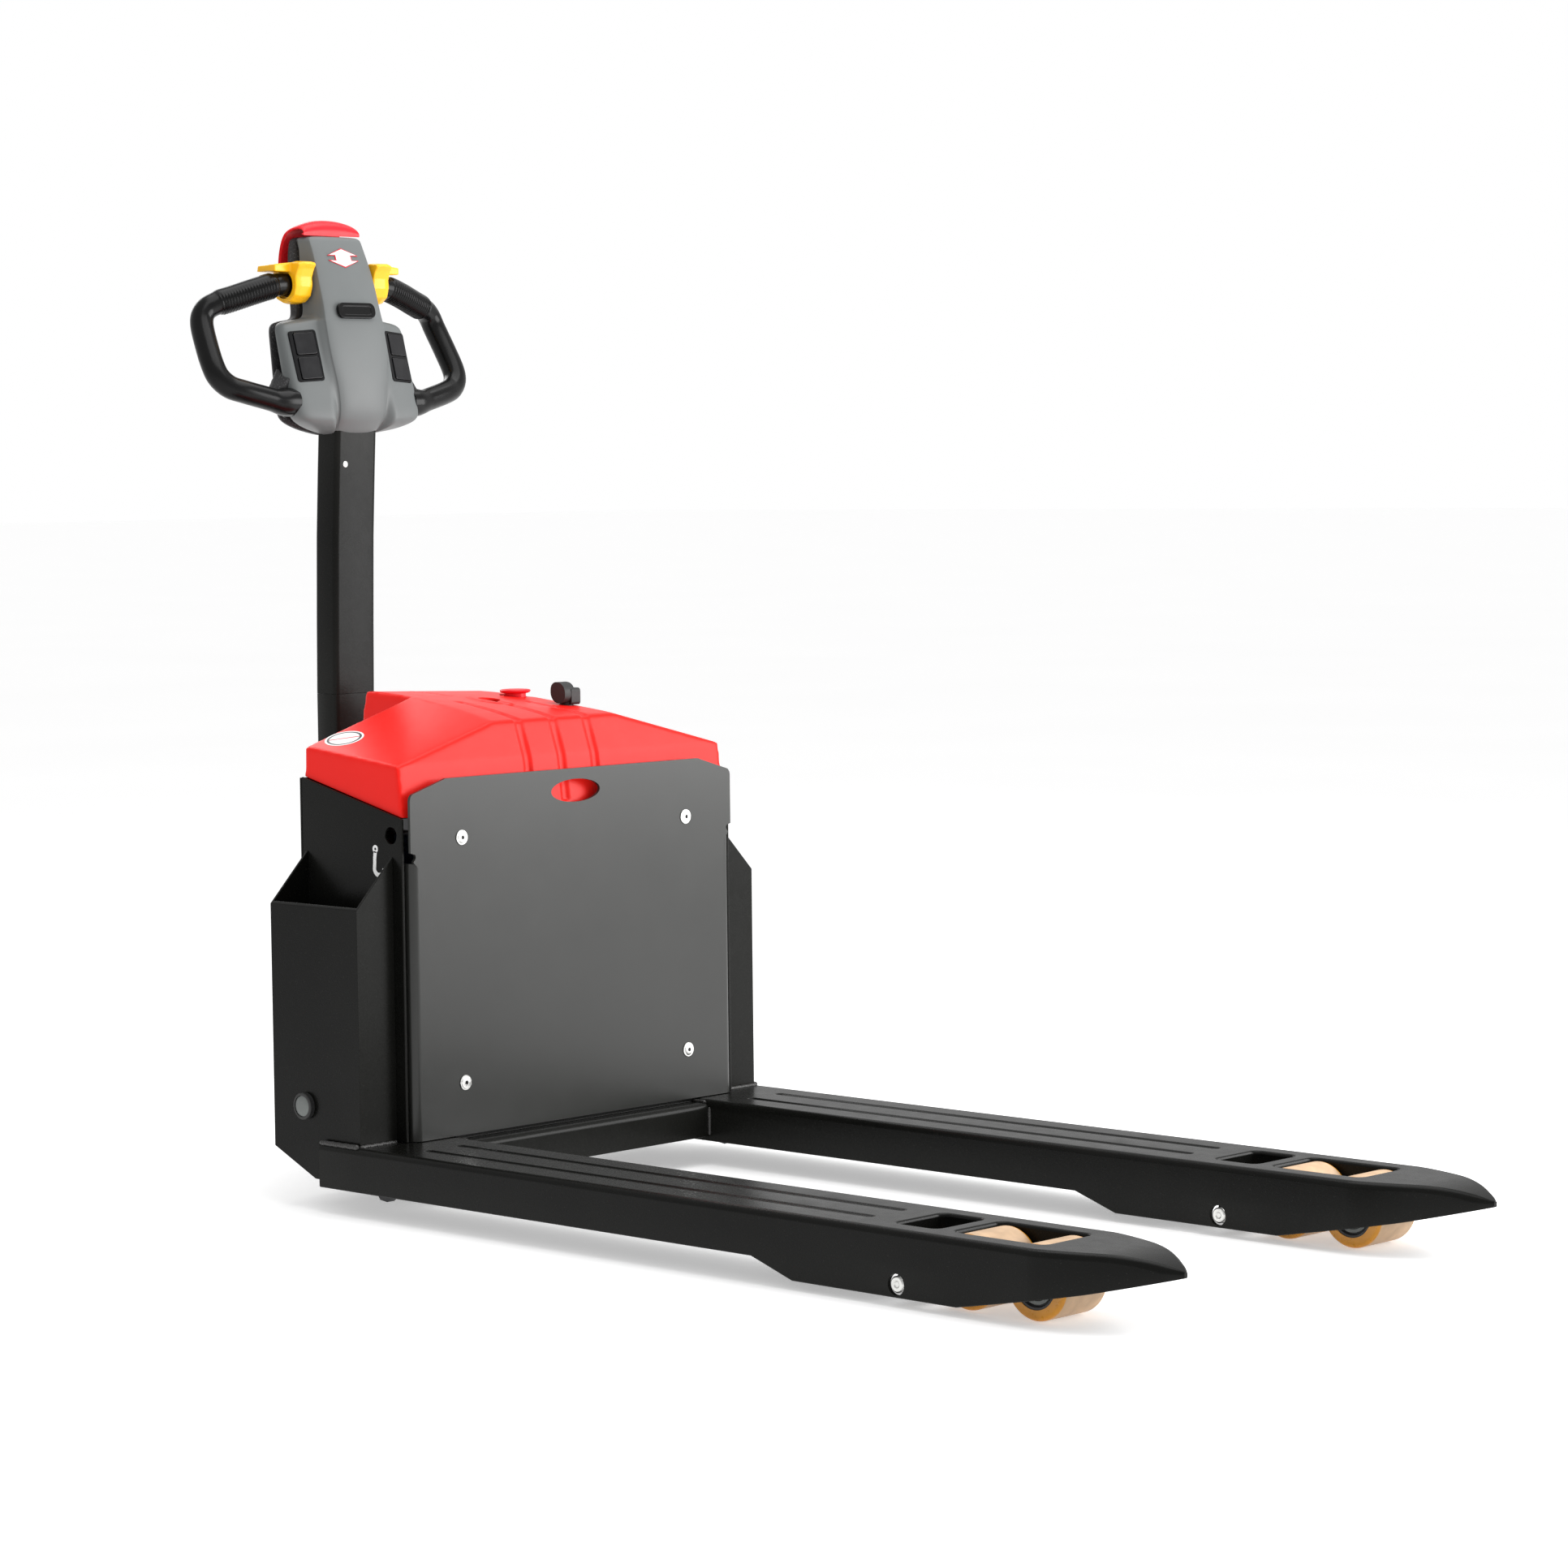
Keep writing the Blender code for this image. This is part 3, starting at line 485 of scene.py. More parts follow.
def build_fork(name, side):
    middle = side * FORK_Y
    stations = [FORK_REAR, -20, 300, 613.9, 640, 674.1, 760, 905, 960, 1000]
    stations += [TAPER_START + (FORK_TIP - 0.4 - TAPER_START) * (1 - (1 - step / 26) ** 1.6)
                 for step in range(27)]
    made = piece(f"fork_body_{name}", loft([fork_section(x, middle) for x in stations]),
                 "frame_coat", "chassis", (f"fork_{name}",), 30)
    inside, sheet = FORK_HALF - 5, 5.0
    room = ((FORK_REAR + sheet, inside, FORK_TOP - sheet), (1000, inside, FORK_TOP - sheet),
            (1044, 52, 71))
    hollow = [[(x, middle - half, -10), (x, middle + half, -10), (x, middle + half, top),
               (x, middle - half, top)] for x, half, top in room]
    carve(made, loft(hollow))
    (low, high), (roller_low, roller_high) = WINDOWS
    rim = rounded((low - 3, middle - 42), (high + 3, middle + 42), 11)
    carve(made, prism(rim, "Z", 66, 79), "UNION")
    for edge in (-42, 38):
        bar = box((roller_low + 4, middle + edge, 66), (roller_high - 4, middle + edge + 4, 79))
        carve(made, bar, "UNION")
    for low, high in WINDOWS:
        carve(made, window_tool(low, high, middle, 39, 9, 4.0, 60))
    for offset in (-25, 25):
        sections = []
        for up, grow in ((80.3, -2.4), (80.5, -1.4), (81.2, -0.4), (81.7, 0.6), (82.05, 2.2), (84, 3.0)):
            flat = rounded((50 - grow, middle + offset - 5.5 - grow),
                           (752 + grow, middle + offset + 5.5 + grow), 5.0 + grow)
            sections.append([(x, y, up) for x, y in flat])
        carve(made, loft(sections))
    carve(made, disc((-15, side * (FORK_Y - FORK_HALF), 57), "Y", -12, 12, 16.5))
    carve(made, disc((PIN_X, middle, PIN_Z), "Y", -80, 80, 11.5))
    flatten_shading(made, keep_sharp=True)
    pin = [(-FORK_HALF + 1, 7.4), (-FORK_HALF + 2.5, 9.0), (FORK_HALF - 2.5, 9.0), (FORK_HALF - 1, 7.4),
           (FORK_HALF - 1, 4.2), (FORK_HALF - 2, 2.6)]
    pin = [(-FORK_HALF + 2, 2.6), (-FORK_HALF + 1, 4.2)] + pin
    piece(f"arm_axle_{name}", turned(pin, (PIN_X, middle, PIN_Z), "Y"), "zinc", "chassis",
          (f"arm_pin_{name}",), 30)


def weld_bead(name, start, end, radius):
    """Row of overlapping weld ripples between two points."""
    start, end = Vector(start), Vector(end)
    count = max(6, int((end - start).length / 0.7))
    path = [start.lerp(end, step / count) for step in range(count + 1)]

    def ripple(index, outward):
        taper = min(1.0, 0.35 + index / 5, 0.35 + (count - index) / 5)
        return radius * taper * (1 + 0.10 * sin(index * 1.3) + 0.06 * sin(index * 0.37 + outward.z * 2))

    piece(name, tube(path, ripple, 12), "weld", "chassis")


def build_welds():
    for name, side in SIDES:
        outer = side * (POCKET_FACE + 1.2)
        weld_bead(f"weld_pocket_{name}", (-92, outer, FORK_TOP + 0.6), (-24, outer, FORK_TOP + 0.6), 3.2)
        weld_bead(f"weld_heel_{name}", (-23, outer - side * 2, FORK_TOP + 0.4),
                  (-23, side * (PANEL_FACE + 3), FORK_TOP + 0.4), 2.8)
        inner = side * (FORK_Y - FORK_HALF - 0.4)
        weld_bead(f"weld_cross_{name}", (23, inner, 38), (23, inner, 73), 2.4)
        weld_bead(f"weld_cross_top_{name}", (-14, inner, 79), (17, inner, 79), 2.2)


# ---------------------------------------------------------- load rollers
def build_rollers():
    for name, _ in SIDES:
        for end in ("front", "rear"):
            node = f"load_roller_{name}_{end}"
            centre, (_, half, radius) = centre_and_half(node)
            body = f"roller_{name}_{end}"
            rim = [(-half, 29)] + arc((-half + 5, radius - 5), 5, 180, 90, 5)
            rim += [(-half + 9, radius)]
            rim += mirror(rim)
            tyre = turned(rim, centre, "Y", bore=28.0, segments=72)
            made = piece(f"roller_tyre_{name}_{end}", tyre, "urethane", body, (node,), 25)
            made.data.materials.append(LOOKS["worn_urethane"])
            for face in made.data.polygons:
                offset = (face.center - row(centre)) / MM
                if abs(offset.y) < half - 6 and offset.xz.length > 30:
                    face.material_index = 1
            core = [(-half + 2, 13), (-half + 2, 17), (-half + 4.5, 18), (-half + 4.5, 24),
                    (-half + 1, 25.5), (-half + 1, 28)]
            core += mirror(core)
            piece(f"roller_core_{name}_{end}", turned(core, centre, "Y", bore=9.0), "casting",
                  body, angle=25)
            for sign in (-1, 1):
                race = [(sign * (half - 4.4), 23.5), (sign * (half - 2.6), 22.5), (sign * (half - 2.6), 19),
                        (sign * (half - 3.4), 18.2)]
                piece(f"roller_race_{name}_{end}_{'outer' if sign > 0 else 'inner'}",
                      turned(race, centre, "Y", bore=18.1), "hub_grey", body, angle=25)


# ------------------------------------------------------------------- body
PLATE_HALF, PLATE_BOTTOM, BEND = 268.0, 83.0, 10.0


def build_plate():
    """Front sheet: chamfered and notched top, edges rolled back below."""
    right = [(PLATE_HALF - BEND - 1, 405), (PLATE_HALF - 2, 414)] + arc((266, 420), 4, 225, 135, 6)
    right += [(270, 425), (270, 478)] + arc((260, 486), 10, 0, 55, 6)
    right += arc((212, 501), 9, 60, 90, 3)
    outline = [(240, 400)] + right + mirror(right) + [(-240, 400)]
    made = piece("plate_skin", prism(outline, "X", -4, 0), "plate_coat", "chassis",
                 ("front_plate",))
    bend_y = PLATE_HALF - BEND
    outer = [(-24, PLATE_HALF)] + arc((-BEND, bend_y), BEND, 90, 0, 10)
    inner = arc((-BEND, bend_y), BEND - 4, 0, 90, 10) + [(-24, PLATE_HALF - 4)]
    ring = outer + [(x, -y) for x, y in reversed(outer)]
    ring += [(x, -y) for x, y in reversed(inner)] + inner
    carve(made, prism(ring, "Z", PLATE_BOTTOM, 412), "UNION")
    hand_hole = [(41 * cos(angle), 483 + 14 * sin(angle))
                 for angle in (2 * pi * step / 56 for step in range(56))]
    carve(made, prism(hand_hole, "X", -20, 20))
    soften(made, 0.8)


BOLT_HALF, BOLT_TOP, BOLT_BOTTOM = 189.0, 438.5, 145.5


def build_bolts():
    places = [(side * BOLT_HALF, up) for up in (BOLT_TOP, BOLT_BOTTOM) for side in (1, -1)]
    for number, (across, up) in enumerate(places, 1):
        head = [(0.3, 9.0), (0.9, 9.0), (1.2, 8.6), (1.2, 7.2), (1.7, 6.8), (2.2, 5.2), (2.3, 4.2)]
        made = piece(f"bolt_head_{number}", turned(head, (0, across, up), "X"), "zinc",
                     "chassis", (f"plate_bolt_{number}",), 25)
        carve(made, disc((0, across, up), "X", 1.0, 6, 2.7, 6), angle=25)
        # black disc on the floor of each hex socket: painted shade, darker than the zinc that is really
        # there
        socket = disc((0, across, up), "X", 0.9, 1.1, 2.6, 6)
        piece(f"painted_socket_shade_{number}", socket, "key_black", "chassis")


def build_side_details():
    for name, side in SIDES:
        face = side * (POCKET_FACE + 3.0)
        ring = [(side * -5.4, 16.0), (side * 0.6, 16.0), (side * 1.6, 15.0), (side * 1.6, 13.2)]
        piece(f"cap_ring_{name}", turned(ring, (-122, face - side * 1.0, 123), "Y", bore=12.7), "rubber",
              "chassis")
        lens = [(side * -3.0, 12.6), (side * 0.2, 12.4), (side * 0.9, 10.5), (side * 1.3, 5.0)]
        piece(f"cap_lens_{name}", turned(lens, (-122, face - side * 0.6, 123), "Y"), "hub_grey",
              "chassis", angle=60)


def ribbon(path, width, thick, place):
    """Flat stroke of one width along a path; place puts (a, b, out) in space."""
    points = [Vector(point) for point in path]
    left, right = [], []
    for index, point in enumerate(points):
        ahead = points[min(index + 1, len(points) - 1)] - points[max(index - 1, 0)]
        normal = Vector((-ahead.y, ahead.x)).normalized() * (width(index / (len(points) - 1)) / 2)
        left.append(point + normal)
        right.append(point - normal)
    mesh = bmesh.new()
    grid = [[mesh.verts.new(place(a, b, out)) for a, b, out in
             ((first.x, first.y, 0), (second.x, second.y, 0), (second.x, second.y, thick),
              (first.x, first.y, thick))] for first, second in zip(left, right)]
    for first, second in zip(grid, grid[1:]):
        for index in range(4):
            after = (index + 1) % 4
            mesh.faces.new((first[index], first[after], second[after], second[index]))
    mesh.faces.new(grid[0])
    mesh.faces.new(reversed(grid[-1]))
    return mesh


def build_hook_marks():
    """Generic lifting-hook mark on each side panel."""
    for name, side in SIDES:
        def place(a, b, out, side=side):
            return (-52 + a, side * (PANEL_FACE + 0.05 + out), 412 + b)
        eye = ribbon(arc((-3.5, 16), 3.2, 0, 360, 18), lambda t: 3.0, 0.3, place)
        piece(f"hook_eye_{name}", eye, "print_white", "chassis")
        stem = [(-3.4, 13), (-4.6, 6), (-4.8, 0), (-5.2, -5)]
        stem += arc((2.2, -7), 7.6, 170, 365, 13)
        curve = [(point.x, point.y) for point in smooth_path([(a, b, 0) for a, b in stem], 3)]
        hook = ribbon(curve, lambda t: 5.0 * (1 - 0.75 * step_up(t, 0.62, 1.0)) + 0.4, 0.3, place)
        piece(f"hook_mark_{name}", hook, "print_white", "chassis")


# ------------------------------------------------------------------ cover
CROWN_FRONT, CROWN_RISE = -37.0, 30.0
BODY_REAR = -187.0
GROOVES = (-61, -4, 52)
KEY_AT, STOP_AT, PLUG_AT = (-150, 0, 0), (-190, 80, 0), (-107, 90, 0)


def crown(x):
    """Height of the cover's flat crown, which levels off towards the rear."""
    return 570 + CROWN_RISE * (1 - (1 - (CROWN_FRONT - x) / 250) ** 2)


def sag(x, sign):
    """How much lower the crown lies along its far edge."""
    return 8.0 * step_up(-x, 40, 95) if sign > 0 else 0.0


def cover_points(inset, grow=0.0):
    drop = inset * 3.0 if inset else 0.0
    sides = []
    for sign in (1, -1):
        wide, ridge = sign * (COVER_HALF - inset), sign * (102 - inset * 0.4)
        sides += [(-12 - inset, wide, 466 - drop - grow), (BODY_REAR + inset, wide, 509 - drop - grow),
                  (-21 - inset, wide, 525 - inset), (-184 + inset, wide, 543 - inset),
                  (-186 + inset, ridge, crown(-186) - inset - sag(-186, sign))]
        sides += [(x - inset, ridge, crown(x) - inset - sag(x, sign))
                  for x in (CROWN_FRONT, -55, -80, -105, -130, -160)]
    return sides


def hump_points(inset, grow=0.0):
    sides = []
    for sign in (1, -1):
        for x in (-120, -140, -160, -185, -210, -240, -272 + inset):
            sides.append((x, sign * (97 - inset), crown(x) - inset - sag(x, sign)))
        sides += [(x, sign * (102 - inset), 478 - inset * 2 - grow) for x in (-120, -290 + inset)]
    return sides


def build_cover():
    """Moulded cover: remeshed and relaxed for its radii, then grooved and hollowed."""
    voxel = 2.4
    made = piece("cover_shell", hull(cover_points(-0.8, 12)), "cover_red", "chassis",
                 ("top_cover",))
    carve(made, hull(hump_points(-0.8, 12)), "UNION")
    mould(made, voxel, 13)
    boss = Vector((-148, 0))
    for vert in made.data.vertices:
        x, y, z = (vert.co.x - PLATE_X) / MM, vert.co.y / MM, vert.co.z / MM
        front = step_up(x, -40, -24)
        if z > 505 or front > 0:
            for groove in GROOVES:
                depth = 2.3 * (1 - step_up(abs(y - groove), 3.0, 7.5)) * step_up(x, -150, -138)
                if abs(y - groove) < 7.5 and z > 470:
                    x -= depth * front
                    z -= depth * (1 - front)
        away = Vector(((x - boss.x) / 1.6, y - boss.y)).length
        if z > 560:
            z += 1.6 * (1 - step_up(away, 20.0, 24.0))
            long_groove = step_up(-x, 185, 192) * step_up(x, -268, -258)
            z -= 1.8 * long_groove * (1 - step_up(abs(y + 30), 2.5, 6.0))
        vert.co = row((x, y, z))
    carve(made, hull(cover_points(3.0)))
    carve(made, hull(hump_points(3.0)))
    trim = [(30, 380), (30, 461), (-12, 466), (BODY_REAR, 509), (-192, 509), (-192, 478), (-330, 478),
            (-330, 380)]
    carve(made, prism(trim, "Y", -320, 320))
    key_cup = turned([(562, 19), (586, 19)], KEY_AT, "Z", bore=12.6)
    carve(made, turned([(560, 12.6), (588.6, 12.6), (588.6, 14.6), (591, 15.4), (592.5, 17), (620, 18)],
                       KEY_AT, "Z"))
    piece("key_bezel", key_cup, "cover_red", "chassis")
    barrel = piece("key_barrel_top", turned([(562, 11.8), (577, 11.8), (578, 10.8)], KEY_AT, "Z"),
                   "key_black", "key_barrel", ("key_switch",))
    carve(barrel, box((-157, -1.6, 575), (-143, 1.6, 583)), "UNION")
    carve(made, disc(STOP_AT, "Z", 560, 620, 14.6))
    carve(made, disc(STOP_AT, "Z", 589.0, 620, 20.4))
    carve(made, disc(PLUG_AT, "Z", 550, 620, 9.2))


def build_cover_marks():
    """Plain ring mark on the near wing, following its slope."""
    corner, edge, ridge = Vector((-21, -COVER_HALF, 525)), Vector((-184, -COVER_HALF, 543)), \
        Vector((-186, -102, crown(-186)))
    along = (edge - corner).normalized()
    out = (ridge - edge).cross(along).normalized()
    if out.z < 0:
        out = -out
    centre = Vector((-158, -232, 0))
    centre.z = edge.z - (out.x * (centre.x - edge.x) + out.y * (centre.y - edge.y)) / out.z
    up = out.cross(along)

    def place(a, b, lift):
        return centre + along * a + up * b + out * (lift + 1.0)

    mesh = bmesh.new()
    edge = arc((0, 0), 24, 0, 360, 45)[:-1]
    mesh.faces.new([mesh.verts.new(place(a, b, 0.1)) for a, b in edge])
    piece("ring_mark_base", mesh, "print_white", "chassis")
    piece("ring_mark_line", ribbon(arc((0, 0), 20, 0, 360, 45), lambda t: 2.8, 0.15, place), "print_dark",
          "chassis")
    bar = [(-13, -13), (0, 0), (13, 13)]
    piece("ring_mark_bar", ribbon(bar, lambda t: 2.4, 0.2, place), "print_red", "chassis")


# ----------------------------------------------------------- top controls
def build_controls():
    (x, y, middle), (_, _, half) = centre_and_half("emergency_stop")
    top = middle + half - 7.5
    stop = [(568, 13.6), (top - 5.4, 13.6), (top - 4.6, 16.5), (top - 4.1, 18.2), (top - 3.0, 19.3),
            (top - 1.8, 19.5), (top - 0.8, 18.9), (top - 0.2, 17.2), (top, 14), (top - 0.6, 11),
            (top - 0.8, 3)]
    piece("stop_knob_cap", turned(stop, (x, y, 0), "Z"), "cap_red", "stop_knob",
          ("emergency_stop",), 40)
    (x, y, _), _ = centre_and_half("charger_plug")
    lean = 0.13
    outline = [(a, up - (a - x) * lean) for a, up in rounded((x - 14, 582), (x + 12, 608), 11.5, 8)]
    grip = piece("plug_grip", prism(outline, "Y", y - 13, y + 4), "rubber", "plug",
                 ("charger_plug",))
    carve(grip, disc(PLUG_AT, "Z", 560, 595, 8.0), "UNION")
    block = rounded((x - 10, 580), (x + 12.5, 601), 4, 5)
    carve(grip, prism(block, "Y", y - 2, y + 13), "UNION")
    soften(grip, 1.2, 3)


# ----------------------------------------------------------------- tiller
TILT_AXIS = (-421, 330)
TILLER_PATH = ((590.4, -421.5), (680, -419.8), (790, -416.8), (870, -412.6), (930, -409.0))
STEM_X, STEM_Y = 20.5, 34.0


def build_stem():
    sections = []
    for up, middle in TILLER_PATH:
        corners = rounded((middle - STEM_X, -STEM_Y), (middle + STEM_X, STEM_Y), 7, 6)
        sections.append([(x, y, up) for x, y in corners])
    inner = []
    for up, middle in TILLER_PATH[::-1]:
        corners = rounded((middle - STEM_X + 3, -STEM_Y + 3), (middle + STEM_X - 3, STEM_Y - 3), 4, 6)
        inner.append([(x, y, up) for x, y in corners])
    piece("stem_tube", loft(sections + inner, closed=True), "frame_coat", "tiller",
          ("tiller_tube",), 30)
    outline = [(-401, 590), (-442, 590)] + arc(TILT_AXIS, 21, 180, 360, 20)
    base = piece("stem_base", prism(outline, "Y", -33.5, 33.5), "frame_coat", "tiller",
                 ("tiller_base",))
    carve(base, disc((TILT_AXIS[0], 0, TILT_AXIS[1]), "Y", -50, 50, 8.4))
    section = rounded((-442, -33.9), (-401, 33.9), 7, 6)
    carve(base, loft([[(x, y, up) for x, y in section] for up in (300, 590)]), "INTERSECT")
    screw = [(0.2, 4.2), (1.0, 4.0), (1.7, 2.4)]
    piece("stem_screw", turned(screw, (-391.8, -19.7, 882), "X", segments=24), "zinc", "tiller")


# head stations: height, ridge x, half width of the spine, lobe share (1 = full lobes)
HEAD = ((919, -393, 27, 0.00), (921, -389, 30, 0.14), (925, -385, 33, 0.42), (930, -381, 35, 0.66),
        (935, -377, 36, 0.84), (940, -374.5, 37, 0.94), (947, -372.5, 37.5, 0.99), (960, -371, 38.5, 1.0),
        (985, -372.5, 41, 1.0), (1010, -376, 46, 1.0), (1035, -380.5, 48, 1.0), (1050, -383.5, 48, 1.0),
        (1056, -384.8, 48, 0.96), (1060, -385.7, 48, 0.86), (1063, -386.4, 48, 0.62),
        (1065, -387, 47.8, 0.25), (1067, -387.6, 47.5, 0.0), (1085, -392, 46, 0.0),
        (1105, -398, 46.5, 0.0), (1130, -406, 45, 0.0), (1150, -414, 43.5, 0.0), (1163, -420, 43, 0.0),
        (1170, -423.5, 43, 0.0))
SEAM_LOW, SEAM_HIGH = (-421.0, 931.0), (-448.0, 1170.0)


def seam(up):
    t = (up - SEAM_LOW[1]) / (SEAM_HIGH[1] - SEAM_LOW[1])
    return SEAM_LOW[0] + (SEAM_HIGH[0] - SEAM_LOW[0]) * max(0.0, t)


def front_half(up, ridge, spine, share):
    """Half outline of the grey shell, from the centre to the seam."""
    back = seam(up)
    inner = -384 - (up - 986) * 0.2537
    outer = -390 - (up - 985) * 0.297
    flank = spine + 2.5
    neck = [(ridge - 9, spine + 1.2), (ridge - 13, spine + 1.7), (ridge - 17, spine + 2.1),
            (ridge - 21, flank), (min(ridge - 25, back + 14), flank), (min(ridge - 28, back + 9), flank),
            (back + 5, flank), (back, flank)]
    lobe = [(min(ridge - 8, inner + 5), spine + 4.5), (inner + 1.2, spine * 0.5 + 31), (inner, 58),
            ((inner + outer) / 2, 76), (outer, 93), (outer - 3.5, 100.5), (outer - 13, 104), (back, 103.5)]
    side = [(n[0] + (l[0] - n[0]) * share, n[1] + (l[1] - n[1]) * share) for n, l in zip(neck, lobe)]
    return [(ridge, 0), (ridge - 0.5, spine * 0.45), (ridge - 2.2, spine * 0.82),
            (ridge - 4.6, spine - 0.6), (ridge - 5.3, spine + 0.1), (ridge - 6.8, spine + 0.5)] + side


def rear_half(up, ridge, spine, share):
    """Half outline of the dark rear shell, from the seam to the centre; ridge isn't used."""
    back = seam(up) - 0.6
    rear = -440 - (min(up, 1148) - 931) * 0.166 + 0.0135 * max(0, up - 1148) ** 2
    rear += 4.0 * step_up(up, 1112, 1130)
    flank = spine + 2.0
    neck = [(back, flank), (back - 8, flank), (rear + 4, flank - 0.5), (rear + 0.5, flank - 5), (rear, 28),
            (rear, 0)]
    lobe = [(back, 101), (back - 8, 98), (back - 17, 92), (rear + 3, 76), (rear - 4, 40), (rear - 5, 0)]
    return [(n[0] + (l[0] - n[0]) * share, n[1] + (l[1] - n[1]) * share) for n, l in zip(neck, lobe)]


def mirrored(half):
    """Whole outline from a half that starts or ends on the centre line."""
    inside = [point for point in half if point[1] > 0.01]
    centre = [point for point in half if point[1] <= 0.01]
    other = [(x, -y) for x, y in reversed(inside)]
    return inside, centre, other


def head_shell(name, half_outline, look_name, node):
    sections = []
    for station in HEAD:
        half = half_outline(*station)
        inside, centre, other = mirrored(half)
        first_is_centre = half[0][1] <= 0.01
        ring = centre + inside + other if first_is_centre else inside + centre + other
        sections.append([(x, y, station[0]) for x, y in ring])
    low = [(x * 0.5 + ring_mean(sections[0])[0] * 0.5, y * 0.5, z - 0.8) for x, y, z in sections[0]]
    high = [(x * 0.5 + ring_mean(sections[-1])[0] * 0.5, y * 0.5, z + 0.8) for x, y, z in sections[-1]]
    made = piece(name, loft([low] + sections + [high]), look_name, "tiller", (node,), 180)
    refine(made, 2)
    apply_changes(made, 50)
    return made


def ring_mean(section):
    return (sum(point[0] for point in section) / len(section), 0)


def build_head():
    front = head_shell("head_front", front_half, "head_grey", "head_front_shell")
    head_shell("head_rear", rear_half, "shell_black", "head_rear_shell")
    for side in (1, -1):
        centre, across, up = panel_face(side)
        panel = bmesh_plate(39.0, 67.0, 4.0, -3.2, 6.0)
        carve(front, placed(panel, centre, across, up), angle=50)
        frame_ring = bmesh_plate(38.2, 66.2, 3.6, -3.0, 0.2)
        name = "left" if side > 0 else "right"
        bezel = piece(f"key_panel_{name}", placed(frame_ring, centre, across, up), "panel_gloss",
                      "tiller")
        for shift in (-16, 16):
            for target, low in ((bezel, -3.6), (front, -7.0)):
                hole = bmesh_plate(31.0, 29.4, 2.0, low, 4.0)
                hole.transform(Matrix.Translation((1.5, shift, 0)))
                carve(target, placed(hole, centre, across, up), angle=50 if target is front else 35)
        soften(bezel, 0.5)
    window_centre, window_up = (-387.2, 0, 1076), (-0.22, 0, 1)
    hole = bmesh_plate(62.0, 20.4, 8.5, -4.0, 8.0)
    carve(front, placed(hole, window_centre, (0, 1, 0), window_up), angle=50)
    glass = piece("display_window", placed(bmesh_plate(61.2, 19.6, 8.2, -3.0, 1.6), window_centre,
                                           (0, 1, 0), window_up),
                  "window_black", "tiller", ("battery_display",))
    carve(glass, placed(bmesh_plate(47.0, 11.0, 3.5, 0.6, 3.0), window_centre, (0, 1, 0), window_up))
    soften(glass, 1.0, 3)


def bmesh_plate(width, height, radius, low, high):
    """Flat plate with round corners, drawn around the origin."""
    return prism(rounded((-width / 2, -height / 2), (width / 2, height / 2), radius, 6), "Z", low, high)


def panel_face(side):
    """Centre, across and up directions of a key panel on the head's lobe."""
    top_out, low_out = Vector((-408.6, 94, 1049)), Vector((-389.8, 97, 985))
    top_in, low_in = Vector((-401.2, 58, 1053)), Vector((-383.8, 57, 986))
    centre = (top_out + low_out + top_in + low_in) / 4
    across = (top_out + low_out - top_in - low_in).normalized()
    up = (top_out + top_in - low_out - low_in).normalized()
    if side < 0:
        centre.y, up.y = -centre.y, -up.y
        across = Vector((-across.x, across.y, -across.z))
    return centre, across, up


KEYS = (("raise", 1, 16), ("horn", 1, -16), ("lower", -1, 16), ("slow", -1, -16))


def build_keys():
    """Dished square keys with a raised generic mark on each."""
    for name, side, shift in KEYS:
        centre, across, up = panel_face(side)
        key = bmesh_plate(29.6, 28.2, 2.4, -2.2, 1.6)
        key.transform(Matrix.Translation((1.5, shift, 0)))
        made = piece(f"{name}_keycap", placed(key, centre, across, up), "key_black",
                     f"{name}_key", (f"{name}_button",))
        dish = bmesh.new()
        bmesh.ops.create_uvsphere(dish, u_segments=40, v_segments=20, radius=38)
        dish.transform(Matrix.Translation((1.5, shift, 38.2)))
        carve(made, placed(dish, centre, across, up), angle=30)
        soften(made, 0.7, 2, 30)
        mark = {
            "raise": [(-5, -3), (0, 5), (5, -3)], "lower": [(-5, 3), (0, -5), (5, 3)],
            "horn": [(-5, 0), (0, 0), (5, 4)], "slow": [(-5, -2), (0, 2), (5, -2)],
        }[name]
        dig = ribbon(mark, lambda t: 1.6, 0.8, lambda a, b, out: Vector((a, b, out + 0.2)))
        dig.transform(Matrix.Translation((1.5, shift, 0)))
        piece(f"{name}_mark", placed(dig, centre, across, up), "print_pale",
              f"{name}_key")


def build_arrow_mark():
    """Generic two-way travel arrow on the head's spine."""
    centre, up = Vector((-411.0, 0, 1143)), Vector((-0.38, 0, 1))
    for name, grow, lift, colour in (("line", 1.5, 0.2, "print_red"), ("face", 0.0, 0.45, "print_white")):
        body, head, tip, under = 12.0 + grow, 22.0 + 2 * grow, 11.8 + grow, 4.0 - grow * 0.5
        outline = [(-head, under), (-body, under), (-body, -under), (-head, -under), (0, -tip),
                   (head, -under), (body, -under), (body, under), (head, under), (0, tip)]
        mesh = placed(prism(outline, "Z", -2.5, lift), centre, (0, 1, 0), up)
        piece(f"arrow_{name}", mesh, colour, "tiller")


LOOP = ((-436, 47, 1108), (-436, 70, 1108), (-436.5, 94, 1107.5), (-441, 122, 1100), (-448, 150, 1091),
        (-455, 175, 1083), (-458.5, 188, 1074), (-456, 195, 1058), (-441, 199.5, 1028), (-428, 201, 1004),
        (-421, 197.5, 990), (-415, 186, 979), (-409, 168, 973), (-404, 140, 966), (-401, 118, 961),
        (-401, 96, 960))


GRIP_START, GRIP_END, RIB_PITCH = 46.0, 124.0, 4.0


